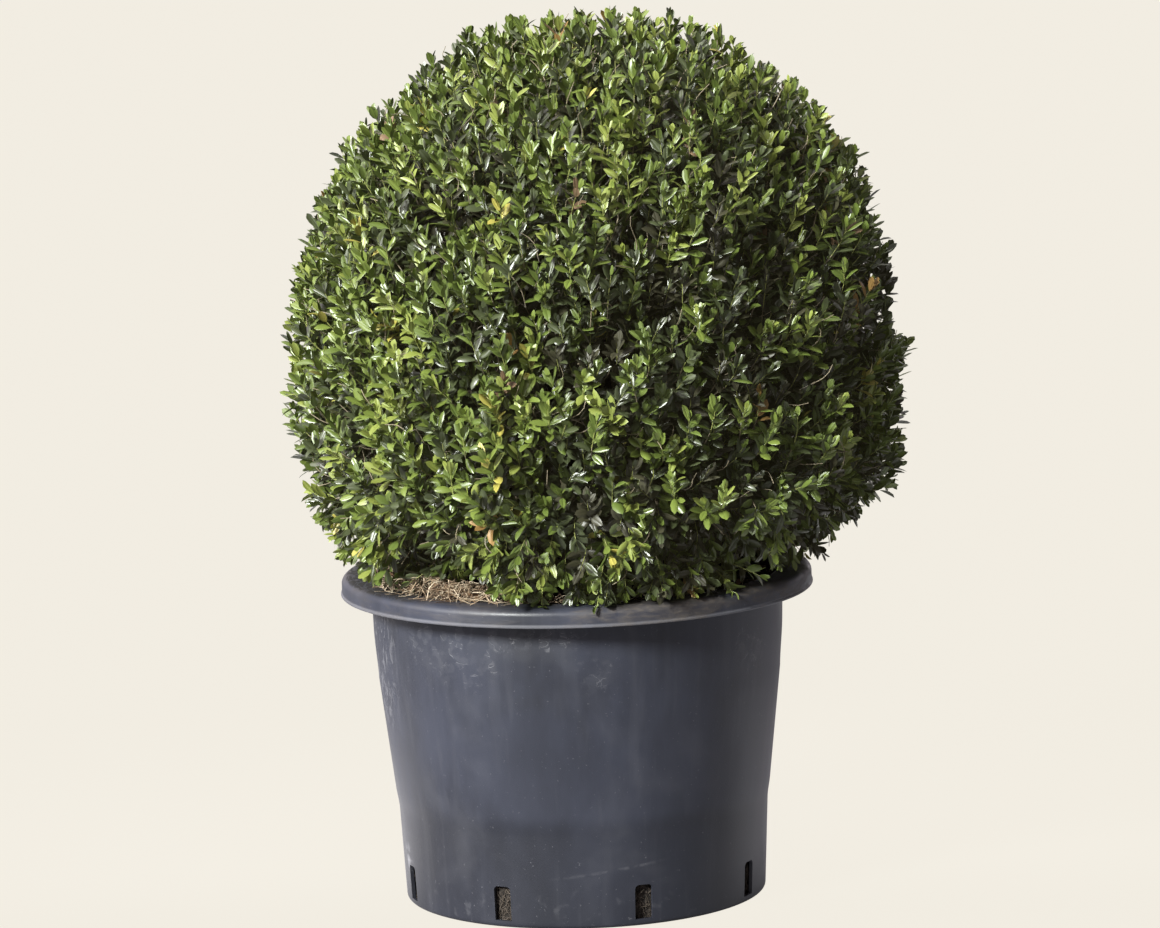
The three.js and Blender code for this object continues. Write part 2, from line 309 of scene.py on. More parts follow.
def mesh_piece(name, points, faces, materials, face_material=None, normals=None):
    """A smooth mesh object from arrays of points and of equal-sided faces."""
    corners = faces.shape[1]
    mesh = bpy.data.meshes.new(name)
    mesh.vertices.add(len(points))
    mesh.vertices.foreach_set("co", points.astype(np.float32).ravel())
    mesh.loops.add(faces.size)
    mesh.loops.foreach_set("vertex_index", faces.astype(np.int32).ravel())
    mesh.polygons.add(len(faces))
    mesh.polygons.foreach_set("loop_start", np.arange(0, faces.size, corners, dtype=np.int32))
    mesh.polygons.foreach_set("use_smooth", np.ones(len(faces), dtype=bool))
    for material in materials:
        mesh.materials.append(material)
    if face_material is not None:
        mesh.polygons.foreach_set("material_index", face_material.astype(np.int32))
    mesh.update(calc_edges=True)
    if normals is not None:
        mesh.normals_split_custom_set_from_vertices(normals)
    piece = bpy.data.objects.new(name, mesh)
    bpy.context.scene.collection.objects.link(piece)
    return piece


def settle(piece, slot, *nodes):
    """The piece rides on the plant's one body and replaces nodes. Its slot is not used."""
    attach(piece, "root")
    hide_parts(*nodes)


def grid_faces(rows, columns):
    """Faces between the rows of a closed ring grid, numbered row by row."""
    index = np.arange(rows * columns).reshape(rows, columns)
    beside = np.roll(index, -1, axis=1)
    return np.stack((index[:-1], beside[:-1], beside[1:], index[1:]), axis=-1).reshape(-1, 4)


def tubes(paths, radii, sides, relief=None):
    """Points and faces of many tubes at once, from paths (n, k, 3) and radii (n, k)."""
    amount, steps, _ = paths.shape
    heading = unit(np.gradient(paths, axis=1))
    flat = np.abs(heading.mean(axis=1)[:, 2]) < 0.9
    reference = np.where(flat[:, None], UPWARD, (1.0, 0.0, 0.0))[:, None, :]
    beside = unit(np.cross(heading, reference))
    across = np.cross(heading, beside)
    around = 2 * math.pi * np.arange(sides) / sides
    ring = np.cos(around)[:, None] * beside[:, :, None] + np.sin(around)[:, None] * across[:, :, None]
    reach = np.broadcast_to(radii[:, :, None, None], (amount, steps, sides, 1))
    points = paths[:, :, None] + ring * reach
    if relief is not None:
        points = points + ring * reach * relief(points)[..., None]
    index = np.arange(amount * steps * sides).reshape(amount, steps, sides)
    following = np.roll(index, -1, axis=2)
    faces = np.stack((index[:, :-1], following[:, :-1], following[:, 1:], index[:, 1:]), axis=-1)
    return points.reshape(-1, 3), faces.reshape(-1, 4)


def joined(parts):
    """One array of points and one of faces from several of each."""
    starts = np.cumsum([0] + [len(points) for points, _ in parts[:-1]])
    points = np.concatenate([points for points, _ in parts])
    faces = np.concatenate([faces + start for (_, faces), start in zip(parts, starts)])
    return points, faces


def curve_points(start, control, end, steps):
    """Points along many curves at once, each from a start past a control point to an end."""
    along = np.linspace(0, 1, steps)[None, :, None]
    return (
        (1 - along) ** 2 * start[:, None]
        + 2 * along * (1 - along) * control[:, None]
        + along**2 * end[:, None]
    )


# ---------- shader nodes ----------


def add_node(tree, kind, inputs=None, **settings):
    """A shader node with its settings made and its inputs linked or set."""
    node = tree.nodes.new(kind)
    for name, value in settings.items():
        setattr(node, name, value)
    for name, value in (inputs or {}).items():
        socket = node.inputs[name]
        if isinstance(value, bpy.types.NodeSocket):
            tree.links.new(value, socket)
        else:
            socket.default_value = value
    return node


def opaque(rgb):
    """A colour with its alpha."""
    return (*rgb, 1.0)


def mix_colours(tree, amount, first, second, blend="MIX"):
    """The first colour where amount is 0 and the second where it is 1."""
    node = add_node(tree, "ShaderNodeMix", data_type="RGBA", blend_type=blend)
    for index, value in ((0, amount), (6, first), (7, second)):
        if isinstance(value, bpy.types.NodeSocket):
            tree.links.new(value, node.inputs[index])
        else:
            node.inputs[index].default_value = value
    return node.outputs[2]


def calculate(tree, operation, first, second=0.0):
    """One sum on two numbers."""
    return add_node(tree, "ShaderNodeMath", {0: first, 1: second}, operation=operation).outputs[0]


def between(tree, value, low, high, to_low=0.0, to_high=1.0):
    """The value brought from one range into another, with smooth ends."""
    limits = {"Value": value, "From Min": low, "From Max": high, "To Min": to_low, "To Max": to_high}
    return add_node(tree, "ShaderNodeMapRange", limits, interpolation_type="SMOOTHSTEP").outputs["Result"]


def product(tree, first, *others):
    """Masks and numbers multiplied together."""
    for other in others:
        first = calculate(tree, "MULTIPLY", first, other)
    return first


def largest(tree, first, *others):
    """The largest of some masks at each place."""
    for other in others:
        first = calculate(tree, "MAXIMUM", first, other)
    return first


def within(tree, value, rise, fall):
    """A mask that grows to 1 as the value goes through one range and dies away through another."""
    return product(tree, between(tree, value, *rise), between(tree, value, *fall, 1.0, 0.0))


def stretched(tree, vector, scale):
    """Coordinates stretched by a scale along each axis."""
    return add_node(tree, "ShaderNodeMapping", {"Vector": vector, "Scale": scale}).outputs["Vector"]


def axis_of(tree, vector, axis):
    """One of the three parts of a vector."""
    return add_node(tree, "ShaderNodeSeparateXYZ", {"Vector": vector}).outputs[axis]


def length_of(tree, vector):
    """The length of a vector."""
    return add_node(tree, "ShaderNodeVectorMath", {0: vector}, operation="LENGTH").outputs["Value"]


def distance_from(tree, spot, point):
    """How far a place lies from a point."""
    return add_node(tree, "ShaderNodeVectorMath", {0: spot, 1: point}, operation="DISTANCE").outputs["Value"]


def reach_of(tree, spot):
    """How far a place lies from the pot's axis."""
    level = add_node(tree, "ShaderNodeVectorMath", {0: spot, 1: (1.0, 1.0, 0.0)}, operation="MULTIPLY")
    return length_of(tree, level.outputs["Vector"])


def new_group(name, inputs, outputs):
    """An empty shader group with named sockets, and the nodes at its two ends."""
    tree = bpy.data.node_groups.new(name, "ShaderNodeTree")
    for socket_name, kind, default in inputs:
        socket = tree.interface.new_socket(socket_name, in_out="INPUT", socket_type=kind)
        if default is not None:
            socket.default_value = default
    for socket_name, kind in outputs:
        tree.interface.new_socket(socket_name, in_out="OUTPUT", socket_type=kind)
    return tree, tree.nodes.new("NodeGroupInput").outputs, tree.nodes.new("NodeGroupOutput").inputs


def mottle_group():
    """Two tones clouded into each other, with the clouds as a height too."""
    if "Mottle" in bpy.data.node_groups:
        return bpy.data.node_groups["Mottle"]
    tree, given, result = new_group(
        "Mottle",
        [
            ("Vector", "NodeSocketVector", None),
            ("Scale", "NodeSocketFloat", 10.0),
            ("Dark", "NodeSocketColor", opaque((0.1, 0.1, 0.1))),
            ("Light", "NodeSocketColor", opaque((0.3, 0.3, 0.3))),
        ],
        [("Color", "NodeSocketColor"), ("Height", "NodeSocketFloat")],
    )
    noise = add_node(
        tree,
        "ShaderNodeTexNoise",
        {"Vector": given["Vector"], "Scale": given["Scale"], "Detail": 5.0, "Roughness": 0.6},
    )
    height = between(tree, noise.outputs["Fac"], 0.3, 0.7)
    tree.links.new(mix_colours(tree, height, given["Dark"], given["Light"]), result["Color"])
    tree.links.new(height, result["Height"])
    return tree


def patches_group():
    """A mask of scattered patches that cover a share of the surface."""
    if "Patches" in bpy.data.node_groups:
        return bpy.data.node_groups["Patches"]
    tree, given, result = new_group(
        "Patches",
        [
            ("Vector", "NodeSocketVector", None),
            ("Scale", "NodeSocketFloat", 20.0),
            ("Threshold", "NodeSocketFloat", 0.55),
            ("Edge", "NodeSocketFloat", 0.1),
        ],
        [("Mask", "NodeSocketFloat")],
    )
    noise = add_node(
        tree,
        "ShaderNodeTexNoise",
        {"Vector": given["Vector"], "Scale": given["Scale"], "Detail": 4.0, "Distortion": 0.4},
    )
    upper = calculate(tree, "ADD", given["Threshold"], given["Edge"])
    mask = between(tree, noise.outputs["Fac"], given["Threshold"], upper)
    tree.links.new(mask, result["Mask"])
    return tree


def use_group(tree, group, **inputs):
    """The outputs of a group placed in a material with its own values."""
    node = add_node(tree, "ShaderNodeGroup", node_tree=group)
    for name, value in inputs.items():
        if isinstance(value, bpy.types.NodeSocket):
            tree.links.new(value, node.inputs[name])
        else:
            node.inputs[name].default_value = value
    return node.outputs


def new_material(name):
    """A material, its tree and its shader."""
    material = bpy.data.materials.new(name)
    material.use_nodes = True
    return material, material.node_tree, material.node_tree.nodes["Principled BSDF"]


def surface_place(tree):
    """The coordinates that the patterns are laid out in, and the height alone."""
    spot = add_node(tree, "ShaderNodeTexCoord").outputs["Object"]
    return spot, axis_of(tree, spot, "Z")


def patches(tree, vector, scale, threshold, edge):
    """The mask of the patches group placed in a material."""
    return use_group(
        tree, patches_group(), Vector=vector, Scale=scale, Threshold=threshold, Edge=edge
    )["Mask"]


def laid_over(tree, tint, mask, strength, cover):
    """The tint with another colour laid over it where the mask is."""
    return mix_colours(tree, product(tree, mask, strength), tint, cover)


def add_relief(tree, shader, height, distance):
    """A height that bends the light on the surface."""
    bump = add_node(tree, "ShaderNodeBump", {"Height": height, "Distance": distance, "Strength": 1.0})
    tree.links.new(bump.outputs["Normal"], shader.inputs["Normal"])


def fine_lines(tree, vector, scale, width):
    """A mask of fine curling lines, drawn where a noise passes through its middle."""
    curls = {"Vector": vector, "Scale": scale, "Detail": 3.0, "Distortion": 0.8}
    noise = add_node(tree, "ShaderNodeTexNoise", curls).outputs["Fac"]
    from_middle = calculate(tree, "ABSOLUTE", calculate(tree, "SUBTRACT", noise, 0.5))
    return between(tree, from_middle, 0.3 * width, width, 1.0, 0.0)


# ---------- pot materials ----------


def curling_scratches(tree, spot, height, pot):
    """A mask of the curling scratches and pale smudges in patches under the rim."""
    from_collar = (pot.collar_height, pot.collar_height + 0.05)
    to_skirt = (SKIRT[0].z - 0.010, SKIRT[0].z + 0.001)
    where = product(tree, within(tree, height, from_collar, to_skirt), patches(tree, spot, 13.0, 0.50, 0.1))
    broken = patches(tree, spot, 95.0, 0.47, 0.12)
    lines = fine_lines(tree, stretched(tree, spot, (0.6, 0.6, 1.0)), 60.0, 0.014)
    smudges = product(tree, broken, 0.22)
    return product(tree, largest(tree, product(tree, lines, broken), smudges), where)


def long_scratches(tree, spot, height, pot):
    """A mask of the long scratches down the left side of the wall."""
    left, _, top = pot.scratched_side
    at_left = between(tree, axis_of(tree, spot, "X"), left + 0.014, left)
    upper = between(tree, height, top - 0.06, top)
    on_wall = between(tree, reach_of(tree, spot), WALL[1].x, SKIRT[1].x - 0.006, 1.0, 0.0)
    lines = fine_lines(tree, stretched(tree, spot, (1.0, 1.0, 0.35)), 70.0, 0.035)
    return product(tree, lines, at_left, upper, on_wall)


def foot_scrape(tree, spot, height, pot):
    """A mask of the long rough scrape low on the front."""
    across = axis_of(tree, spot, "X")
    line = calculate(tree, "ADD", product(tree, across, pot.scrape_slope), pot.scrape_height)
    off_line = calculate(tree, "ABSOLUTE", calculate(tree, "SUBTRACT", height, line))
    on_line = between(tree, off_line, 0.0003, 0.0022, 1.0, 0.0)
    rough = patches(tree, spot, 110.0, 0.42, 0.2)
    stretch = within(tree, across, (-0.06, 0.035), (0.05, 0.08))
    in_front = between(tree, axis_of(tree, spot, "Y"), -0.12, -0.08, 1.0, 0.0)
    return product(tree, on_line, rough, stretch, in_front)


def chafed_patches(tree, spot, pot):
    """A mask of the worn patch above the slot at the left and a fainter one across from it."""
    left = tuple(pot.chafed_patch)
    right = (-left[0], left[1], left[2])
    rounds = [
        between(tree, distance_from(tree, spot, middle), 0.004, 0.018, strength, 0.0)
        for middle, strength in ((left, 0.75), (right, 0.35))
    ]
    return product(tree, largest(tree, *rounds), patches(tree, spot, 130.0, 0.40, 0.3))


def foot_marks(tree, spot, height, pot):
    """A mask of the marks low on the pot: lime, a scrape, chafed patches, and on the right dust with painted
    light from the floor.
    """
    near_foot = between(tree, height, 0.004, 0.05, 1.0, 0.0)
    lime = product(tree, patches(tree, spot, 75.0, 0.57, 0.16), near_foot, 0.14)
    scrape = product(tree, foot_scrape(tree, spot, height, pot), 0.14)
    # Dust on the right, made stronger so that it stands as painted light from the floor.
    to_the_right = between(tree, axis_of(tree, spot, "X"), 0.09, 0.165)
    dust = product(tree, to_the_right, between(tree, height, 0.03, 0.12, 0.26, 0.0))
    return largest(tree, lime, scrape, dust, chafed_patches(tree, spot, pot))


def pale_bead_line(tree, height):
    """A mask of the pale line along the skirt's lower edge."""
    low = SKIRT[0].z
    return within(tree, height, (low - 0.002, low), (low + 0.003, low + 0.004))


def rim_top(tree, height):
    """How far the surface faces up, and a mask of the rim's upper side."""
    upward = axis_of(tree, add_node(tree, "ShaderNodeNewGeometry").outputs["Normal"], "Z")
    high = between(tree, height, SKIRT[0].z + 0.001, SKIRT[0].z + 0.008)
    return upward, product(tree, between(tree, upward, 0.0, 0.8), high)


def rim_earth(tree, spot, on_top):
    """A mask of the earth dried on the rim and its skirt, most of it on the right."""
    more_at_right = between(tree, axis_of(tree, spot, "X"), -0.08, 0.04, 0.3, 1.0)
    on_skirt = between(tree, reach_of(tree, spot), SKIRT[1].x - 0.004, SKIRT[1].x - 0.002)
    where = largest(tree, on_top, product(tree, on_skirt, 0.8))
    flat = stretched(tree, spot, (1.0, 1.0, 3.0))
    fine = product(tree, patches(tree, flat, 120.0, 0.40, 0.3), 0.5)
    crumbs = product(tree, patches(tree, flat, 22.0, 0.40, 0.18), calculate(tree, "ADD", fine, 0.5))
    return product(tree, where, more_at_right, crumbs)


def rim_painted_shade(tree, spot, upward, on_top):
    """A mask of painted shade on the left end of the rim's flat top, broken by lighter streaks of earth."""
    left_end = between(tree, axis_of(tree, spot, "X"), -0.175, -0.13, 1.0, 0.0)
    on_flat = between(tree, upward, 0.8, 0.98)
    trails = fine_lines(tree, stretched(tree, spot, (1.0, 0.4, 1.0)), 90.0, 0.05)
    shade_strength = calculate(tree, "SUBTRACT", 0.9, product(tree, trails, 0.6))
    return product(tree, shade_strength, on_flat, left_end, on_top)


def plastic_clouds(tree, spot, height, pot):
    """The tint of the clean plastic, painted darker below the lower shoulder as painted shade, and its
    clouds as a height.
    """
    light = opaque(pot.plastic_light)
    clouds = use_group(
        tree,
        mottle_group(),
        Vector=stretched(tree, spot, (1.0, 1.0, 0.45)),
        Scale=9.0,
        Dark=opaque(pot.plastic_dark),
        Light=light,
    )
    wide = patches(tree, stretched(tree, spot, (1.0, 1.0, 0.6)), 3.6, 0.42, 0.2)
    tint = laid_over(tree, clouds["Color"], wide, 0.42, light)
    # A round patch on the front is lightened towards the plastic's lighter tone.
    away = distance_from(tree, spot, tuple(pot.lightened))
    lightened = between(tree, away, 0.75 * pot.lightened_radius, pot.lightened_radius, 0.3, 0.0)
    tint = mix_colours(tree, lightened, tint, light)
    # Below the lower shoulder the plastic is mixed towards a darker tone: painted shade.
    shoulder = pot.shoulder_height
    below = between(tree, height, shoulder, shoulder + pot.shoulder_rise, 0.40, 0.0)
    shaded = opaque(tuple(0.6 * part for part in pot.plastic_dark))
    return mix_colours(tree, below, tint, shaded), clouds["Height"]


def dust_on_plastic(tree, spot, tint, film):
    """The tint under drawn-out streaks, a haze and specks of dust, and the haze as a mask."""
    streaks = patches(tree, stretched(tree, spot, (1.0, 1.0, 0.05)), 70.0, 0.5, 0.25)
    haze = patches(tree, spot, 14.0, 0.5, 0.3)
    specks = patches(tree, spot, 420.0, 0.69, 0.04)
    for mask, strength in ((streaks, 0.045), (haze, 0.07), (specks, 0.3)):
        tint = laid_over(tree, tint, mask, strength, film)
    return tint, haze


def plastic_material(pot):
    """Slate plastic with its clouds and dust, scuffed and marked, with earth on the rim, painted shade on
    the rim's left end and below the lower shoulder, and painted floor light low on the right.
    """
    material, tree, shader = new_material("pot plastic")
    spot, height = surface_place(tree)
    film = opaque(pot.film)
    tint, clouds = plastic_clouds(tree, spot, height, pot)
    tint, haze = dust_on_plastic(tree, spot, tint, film)
    curls = curling_scratches(tree, spot, height, pot)
    scuffs = largest(tree, curls, long_scratches(tree, spot, height, pot))
    tint = laid_over(tree, tint, scuffs, 0.38, film)
    tint = mix_colours(tree, foot_marks(tree, spot, height, pot), tint, film)
    tint = laid_over(tree, tint, pale_bead_line(tree, height), 0.30, film)
    upward, on_top = rim_top(tree, height)
    earth = rim_earth(tree, spot, on_top)
    painted_shade = rim_painted_shade(tree, spot, upward, on_top)
    tint = laid_over(tree, tint, earth, 0.85, opaque(pot.earth))
    # The left end of the rim's top is painted dark: painted shade, with streaks of earth through it.
    tint = mix_colours(tree, painted_shade, tint, opaque(pot.painted_shade))
    tree.links.new(tint, shader.inputs["Base Color"])

    earth_and_painted_shade = largest(tree, earth, painted_shade)
    dull = calculate(tree, "ADD", product(tree, earth_and_painted_shade, 0.35), product(tree, haze, 0.08))
    roughness = calculate(tree, "ADD", between(tree, clouds, 0.0, 1.0, 0.40, 0.47), dull)
    tree.links.new(roughness, shader.inputs["Roughness"])
    fine_grain = {"Vector": spot, "Scale": 900.0, "Detail": 2.0}
    grain = add_node(tree, "ShaderNodeTexNoise", fine_grain).outputs["Fac"]
    worn = calculate(tree, "SUBTRACT", product(tree, grain, 0.25), product(tree, scuffs, 0.6))
    add_relief(tree, shader, calculate(tree, "ADD", worn, product(tree, earth_and_painted_shade, 0.9)), 0.0004)
    return material


# ---------- soil and plant materials ----------


def peat_material(soil):
    """Dark crumbly peat with pale flecks."""
    material, tree, shader = new_material("peat")
    spot, _ = surface_place(tree)
    dark, light = opaque(soil.peat_dark), opaque(soil.peat_light)
    crumbs = use_group(tree, mottle_group(), Vector=spot, Scale=190.0, Dark=dark, Light=light)
    flecks = patches(tree, spot, 330.0, 0.63, 0.05)
    tint = laid_over(tree, crumbs["Color"], flecks, 0.6, opaque(soil.peat_fleck))
    tree.links.new(tint, shader.inputs["Base Color"])
    tree.links.new(between(tree, crumbs["Height"], 0.0, 1.0, 0.98, 0.8), shader.inputs["Roughness"])
    add_relief(tree, shader, crumbs["Height"], 0.003)
    return material


def bark_material(plant):
    """Grey-tan bark with lichen on it, cracked along the limb."""
    material, tree, shader = new_material("bark")
    spot, _ = surface_place(tree)
    long_way = stretched(tree, spot, (1.0, 1.0, 0.35))
    dark, light = opaque(plant.bark_dark), opaque(plant.bark_light)
    plates = use_group(tree, mottle_group(), Vector=long_way, Scale=120.0, Dark=dark, Light=light)
    lichen = patches(tree, spot, 85.0, 0.6, 0.06)
    tint = laid_over(tree, plates["Color"], lichen, 0.5, opaque(plant.lichen))
    tree.links.new(tint, shader.inputs["Base Color"])
    tree.links.new(between(tree, plates["Height"], 0.0, 1.0, 0.95, 0.75), shader.inputs["Roughness"])
    add_relief(tree, shader, plates["Height"], 0.0016)
    return material


# Stands for the little light that thin leaves let through to one another.
PASSED_ON = (0.0044, 0.0038, 0.0020)


def plain_material(name, rgb, roughness, shine=0.5, passed_on=(0.0, 0.0, 0.0)):
    """One tone of a leaf, twig or straw. Which spray gets it is dealt out with the seed."""
    material, _, shader = new_material(name)
    shader.inputs["Base Color"].default_value = opaque(rgb)
    shader.inputs["Roughness"].default_value = roughness
    shader.inputs["Specular IOR Level"].default_value = shine
    shader.inputs["Emission Color"].default_value = opaque(passed_on)
    shader.inputs["Emission Strength"].default_value = 1.0
    return material


# The finish of each tone: its roughness, its shine and the light passed on. Its colour is the setting
# of the same name. Leaves go from the shade inside to the new growth, and then the odd ones.
LEAF_FINISHES = {
    "leaf_deep": (0.46, 0.7, PASSED_ON),
    "leaf_dark": (0.34, 0.85, PASSED_ON),
    "leaf_mid": (0.38, 0.8, PASSED_ON),
    "leaf_fresh": (0.40, 0.75, PASSED_ON),
    "leaf_young": (0.43, 0.75, PASSED_ON),
    "leaf_yellow": (0.45, 0.6, PASSED_ON),
    "leaf_orange": (0.50, 0.5, PASSED_ON),
    "leaf_brown": (0.60, 0.4, PASSED_ON),
}
DEEP, DARK, MID, FRESH, YOUNG, YELLOW, ORANGE, BROWN = range(len(LEAF_FINISHES))
TWIG_FINISHES = {
    "twig_green": (0.5, 0.5, PASSED_ON),
    "twig_tan": (0.7, 0.4, PASSED_ON),
    "twig_grey": (0.8, 0.3, PASSED_ON),
}
GREEN, TAN, GREY = range(len(TWIG_FINISHES))
STRAW_FINISHES = {
    "straw_pale": (0.7, 0.4),
    "straw_tan": (0.75, 0.4),
    "straw_brown": (0.8, 0.3),
}
STRAW_SHARES = (0.32, 0.34, 0.34)


def tone_materials(settings, finishes):
    """The materials of a set of tones, in order."""
    return [
        plain_material(name.replace("_", " "), getattr(settings, name), *finish)
        for name, finish in finishes.items()
    ]


# ---------- pot ----------


def quarter_round(centre, reach, first, last, steps=5):
    """Section points of a quarter of an ellipse, without its first one."""
    angles = np.linspace(first, last, steps + 1)[1:]
    return [(centre[0] + reach[0] * math.cos(a), centre[1] + reach[1] * math.sin(a)) for a in angles]


def straight(start, end, steps):
    """Section points along a straight stretch, without its first one."""
    start, end = np.array(start), np.array(end)
    return [tuple(start + (end - start) * i / steps) for i in range(1, steps + 1)]


def step_out(start, step, rise, steps=5):
    """Section points of a soft shoulder, without its first one."""
    points = []
    for i in range(1, steps + 1):
        along = i / steps
        eased = 0.5 * along + 0.5 * float(smoothstep(0, 1, along))
        points.append((start[0] + step * eased, start[1] + rise * along))
    return points


def wall_radius(pot, height):
    """Outer radius of the wall at a height near the foot."""
    slope = (pot.shoulder_radius - pot.foot_radius) / (pot.shoulder_height - pot.foot_edge)
    return pot.foot_radius + slope * (height - pot.foot_edge)


def slot_heights(pot):
    """Heights of the section's rows beside a slot, closer together round its upper corners."""
    top = pot.slot_bottom + pot.slot_height
    side = np.linspace(pot.slot_bottom, top - pot.slot_corner, 5)
    corner = top - pot.slot_corner + pot.slot_corner * np.sin(np.linspace(0, math.pi / 2, 5)[1:])
    return np.concatenate((side, corner))


def wall_above_slots(pot, top):
    """Section points of the wall's outside from above the slots up to a height."""
    slot_top = pot.slot_bottom + pot.slot_height
    points = straight((wall_radius(pot, slot_top), slot_top), (pot.shoulder_radius, pot.shoulder_height), 6)
    points += step_out(points[-1], pot.shoulder_step, pot.shoulder_rise)
    points += straight(points[-1], (pot.collar_radius, pot.collar_height), 9)
    points += step_out(points[-1], pot.collar_step, pot.collar_rise, 7)
    return points + straight(points[-1], (WALL[1].x, top), 6)


def rim_section(pot):
    """Section points from the top of the wall's outside, round the rim, to the top of its inside."""
    top, outer = RIM[1].z, RIM[1].x
    under = top - pot.rim_thickness
    skirt_foot = SKIRT[0].z
    centre = (outer - pot.rim_round_reach, top - pot.rim_round_height)
    outer_reach = (pot.rim_round_reach, pot.rim_round_height)
    inner_reach = tuple(reach - pot.rim_thickness for reach in outer_reach)
    inner = WALL[1].x - pot.wall_thickness
    skirt_inner = outer - pot.rim_thickness
    edge = 0.0006  # chamfer of the skirt's lower corners
    return [
        (centre[0], under),
        *quarter_round(centre, inner_reach, math.pi / 2, 0),
        (skirt_inner, skirt_foot + edge),
        (skirt_inner + edge, skirt_foot),
        (outer + pot.bead - edge, skirt_foot),
        (outer + pot.bead, skirt_foot + edge),
        (outer + pot.bead, skirt_foot + 2.5 * edge),
        (outer, skirt_foot + 4.5 * edge),
        (outer, centre[1]),
        *quarter_round(centre, outer_reach, 0, math.pi / 2, 8),
        (inner + pot.rim_thickness, top),
        *quarter_round((inner + pot.rim_thickness, under), (pot.rim_thickness,) * 2, math.pi / 2, math.pi),
    ]


def pot_section(pot):
    """The section from the middle of the underside round to the middle of the floor, and the rows
    beside the slots on the outside and on the inside."""
    centre = (pot.foot_radius - pot.foot_edge, pot.foot_edge)
    under_rim = RIM[1].z - pot.rim_thickness
    section = [(0.0, 0.0), (0.5 * centre[0], 0.0), (centre[0], 0.0)]
    section += quarter_round(centre, (pot.foot_edge,) * 2, -math.pi / 2, 0)
    beside_slots = [(wall_radius(pot, height), height) for height in slot_heights(pot)]
    outside_rows = range(len(section), len(section) + len(beside_slots))
    section += beside_slots
    upper_wall = wall_above_slots(pot, under_rim)
    section += upper_wall + rim_section(pot)
    section += [(radius - pot.wall_thickness, height) for radius, height in reversed(upper_wall[:-1])]
    inside_rows = range(len(section) + len(beside_slots) - 1, len(section) - 1, -1)
    section += [(radius - pot.wall_thickness, height) for radius, height in reversed(beside_slots)]
    section += [(centre[0] - pot.wall_thickness, pot.floor), (0.0, pot.floor)]
    return np.array(section), outside_rows, inside_rows


# Columns of faces across a slot, and from either side of it halfway to the next slot.
ACROSS_SLOT = 4
BESIDE_SLOT = 8


def pot_angles(pot, section):
    """Angle of each column at each row. In each sector they are drawn in to the sides of a slot."""
    radius, height = section.T
    half = pot.slot_width / 2
    top = pot.slot_bottom + pot.slot_height
    into_corner = np.clip(height - (top - pot.slot_corner), 0, pot.slot_corner)
    narrowed = half - pot.slot_corner + np.sqrt(pot.slot_corner**2 - into_corner**2)
    widened = np.interp(height, (top, top + 0.02), (half - pot.slot_corner, half))
    width = np.where(height > top, widened, narrowed)
    side = np.arcsin(width / np.maximum(radius, 0.9 * pot.foot_radius))[:, None]
    sector = math.pi / pot.slot_count
    outward = np.arange(1, BESIDE_SLOT + 1) / BESIDE_SLOT
    right = side + (sector - side) * outward[None, :-1]
    left = -(side + (sector - side) * outward[None, ::-1])
    in_slot = side * np.linspace(-1, 1, ACROSS_SLOT + 1)
    one_sector = np.concatenate((left, in_slot, right), axis=1)
    turns = pot.slot_first + 2 * sector * np.arange(pot.slot_count)
    angles = turns[None, :, None] + one_sector[:, None, :]
    return angles.reshape(len(section), -1)


def slot_jambs(outside, inside, left, right, columns):
    """Faces through the wall round one slot, from its rows outside to its rows inside."""
    jambs = []
    for column in (left, right):
        for i in range(len(outside) - 1):
            jamb_rows = (outside[i], outside[i + 1], inside[i + 1], inside[i])
            jambs.append([row * columns + column for row in jamb_rows])
    for i in (0, len(outside) - 1):
        for column in range(left, right):
            lower, upper = outside[i] * columns, inside[i] * columns
            jambs.append([lower + column, lower + column + 1, upper + column + 1, upper + column])
    return jambs


def pot_mesh(pot):
    """Points and faces of the whole pot, with its slots cut through the wall."""
    section, outside, inside = pot_section(pot)
    angles = pot_angles(pot, section)
    rows, columns = angles.shape
    rise = section[:, 1:] / RIM[1].z
    stray = np.cos(2 * angles - 1.1) * rise + 0.5 * np.cos(3 * angles + 0.7) * (1 - rise)
    radius = section[:, :1] + pot.out_of_round * stray * (section[:, :1] > 0)
    points = around_axis(radius, angles, section[:, 1:]).reshape(-1, 3)
    faces = grid_faces(rows, columns).reshape(rows - 1, columns, 4)
    kept = np.ones((rows - 1, columns), dtype=bool)
    jambs = []
    for sector in range(pot.slot_count):
        left = sector * columns // pot.slot_count + BESIDE_SLOT
        right = left + ACROSS_SLOT
        kept[outside[0] : outside[-1], left:right] = False
        kept[inside[-1] : inside[0], left:right] = False
        jambs += slot_jambs(outside, inside, left, right, columns)
    return points, np.concatenate((faces[kept], np.array(jambs)))


def close_and_crease(piece, crease):
    """Merges doubled points, turns every face outwards and keeps the edges sharper than crease."""
    shape = bmesh.new()
    shape.from_mesh(piece.data)
    bmesh.ops.remove_doubles(shape, verts=shape.verts, dist=1e-6)
    bmesh.ops.recalc_face_normals(shape, faces=shape.faces)
    shape.to_mesh(piece.data)
    shape.free()
    piece.data.set_sharp_from_angle(angle=math.radians(crease))


# ---------- root ball and litter ----------


def heap_share_at(soil, angle, width):
    """1 at the heap of straws and less the further round a place is."""
    away = np.angle(np.exp(1j * (angle - soil.heap_turn)))
    return np.exp(-((away / width) ** 2))


def soil_height(soil, radius, angle):
    """Height of the peat and litter on the root ball, banked up towards the wall and the heap."""
    rise = smoothstep(SOIL[1].x - soil.bank_reach, SOIL[1].x - 0.004, radius)
    bank = soil.bank * (0.25 + 0.75 * heap_share_at(soil, angle, soil.bank_width))
    return SOIL[1].z + rise * (bank + soil.heap * heap_share_at(soil, angle, soil.heap_width))


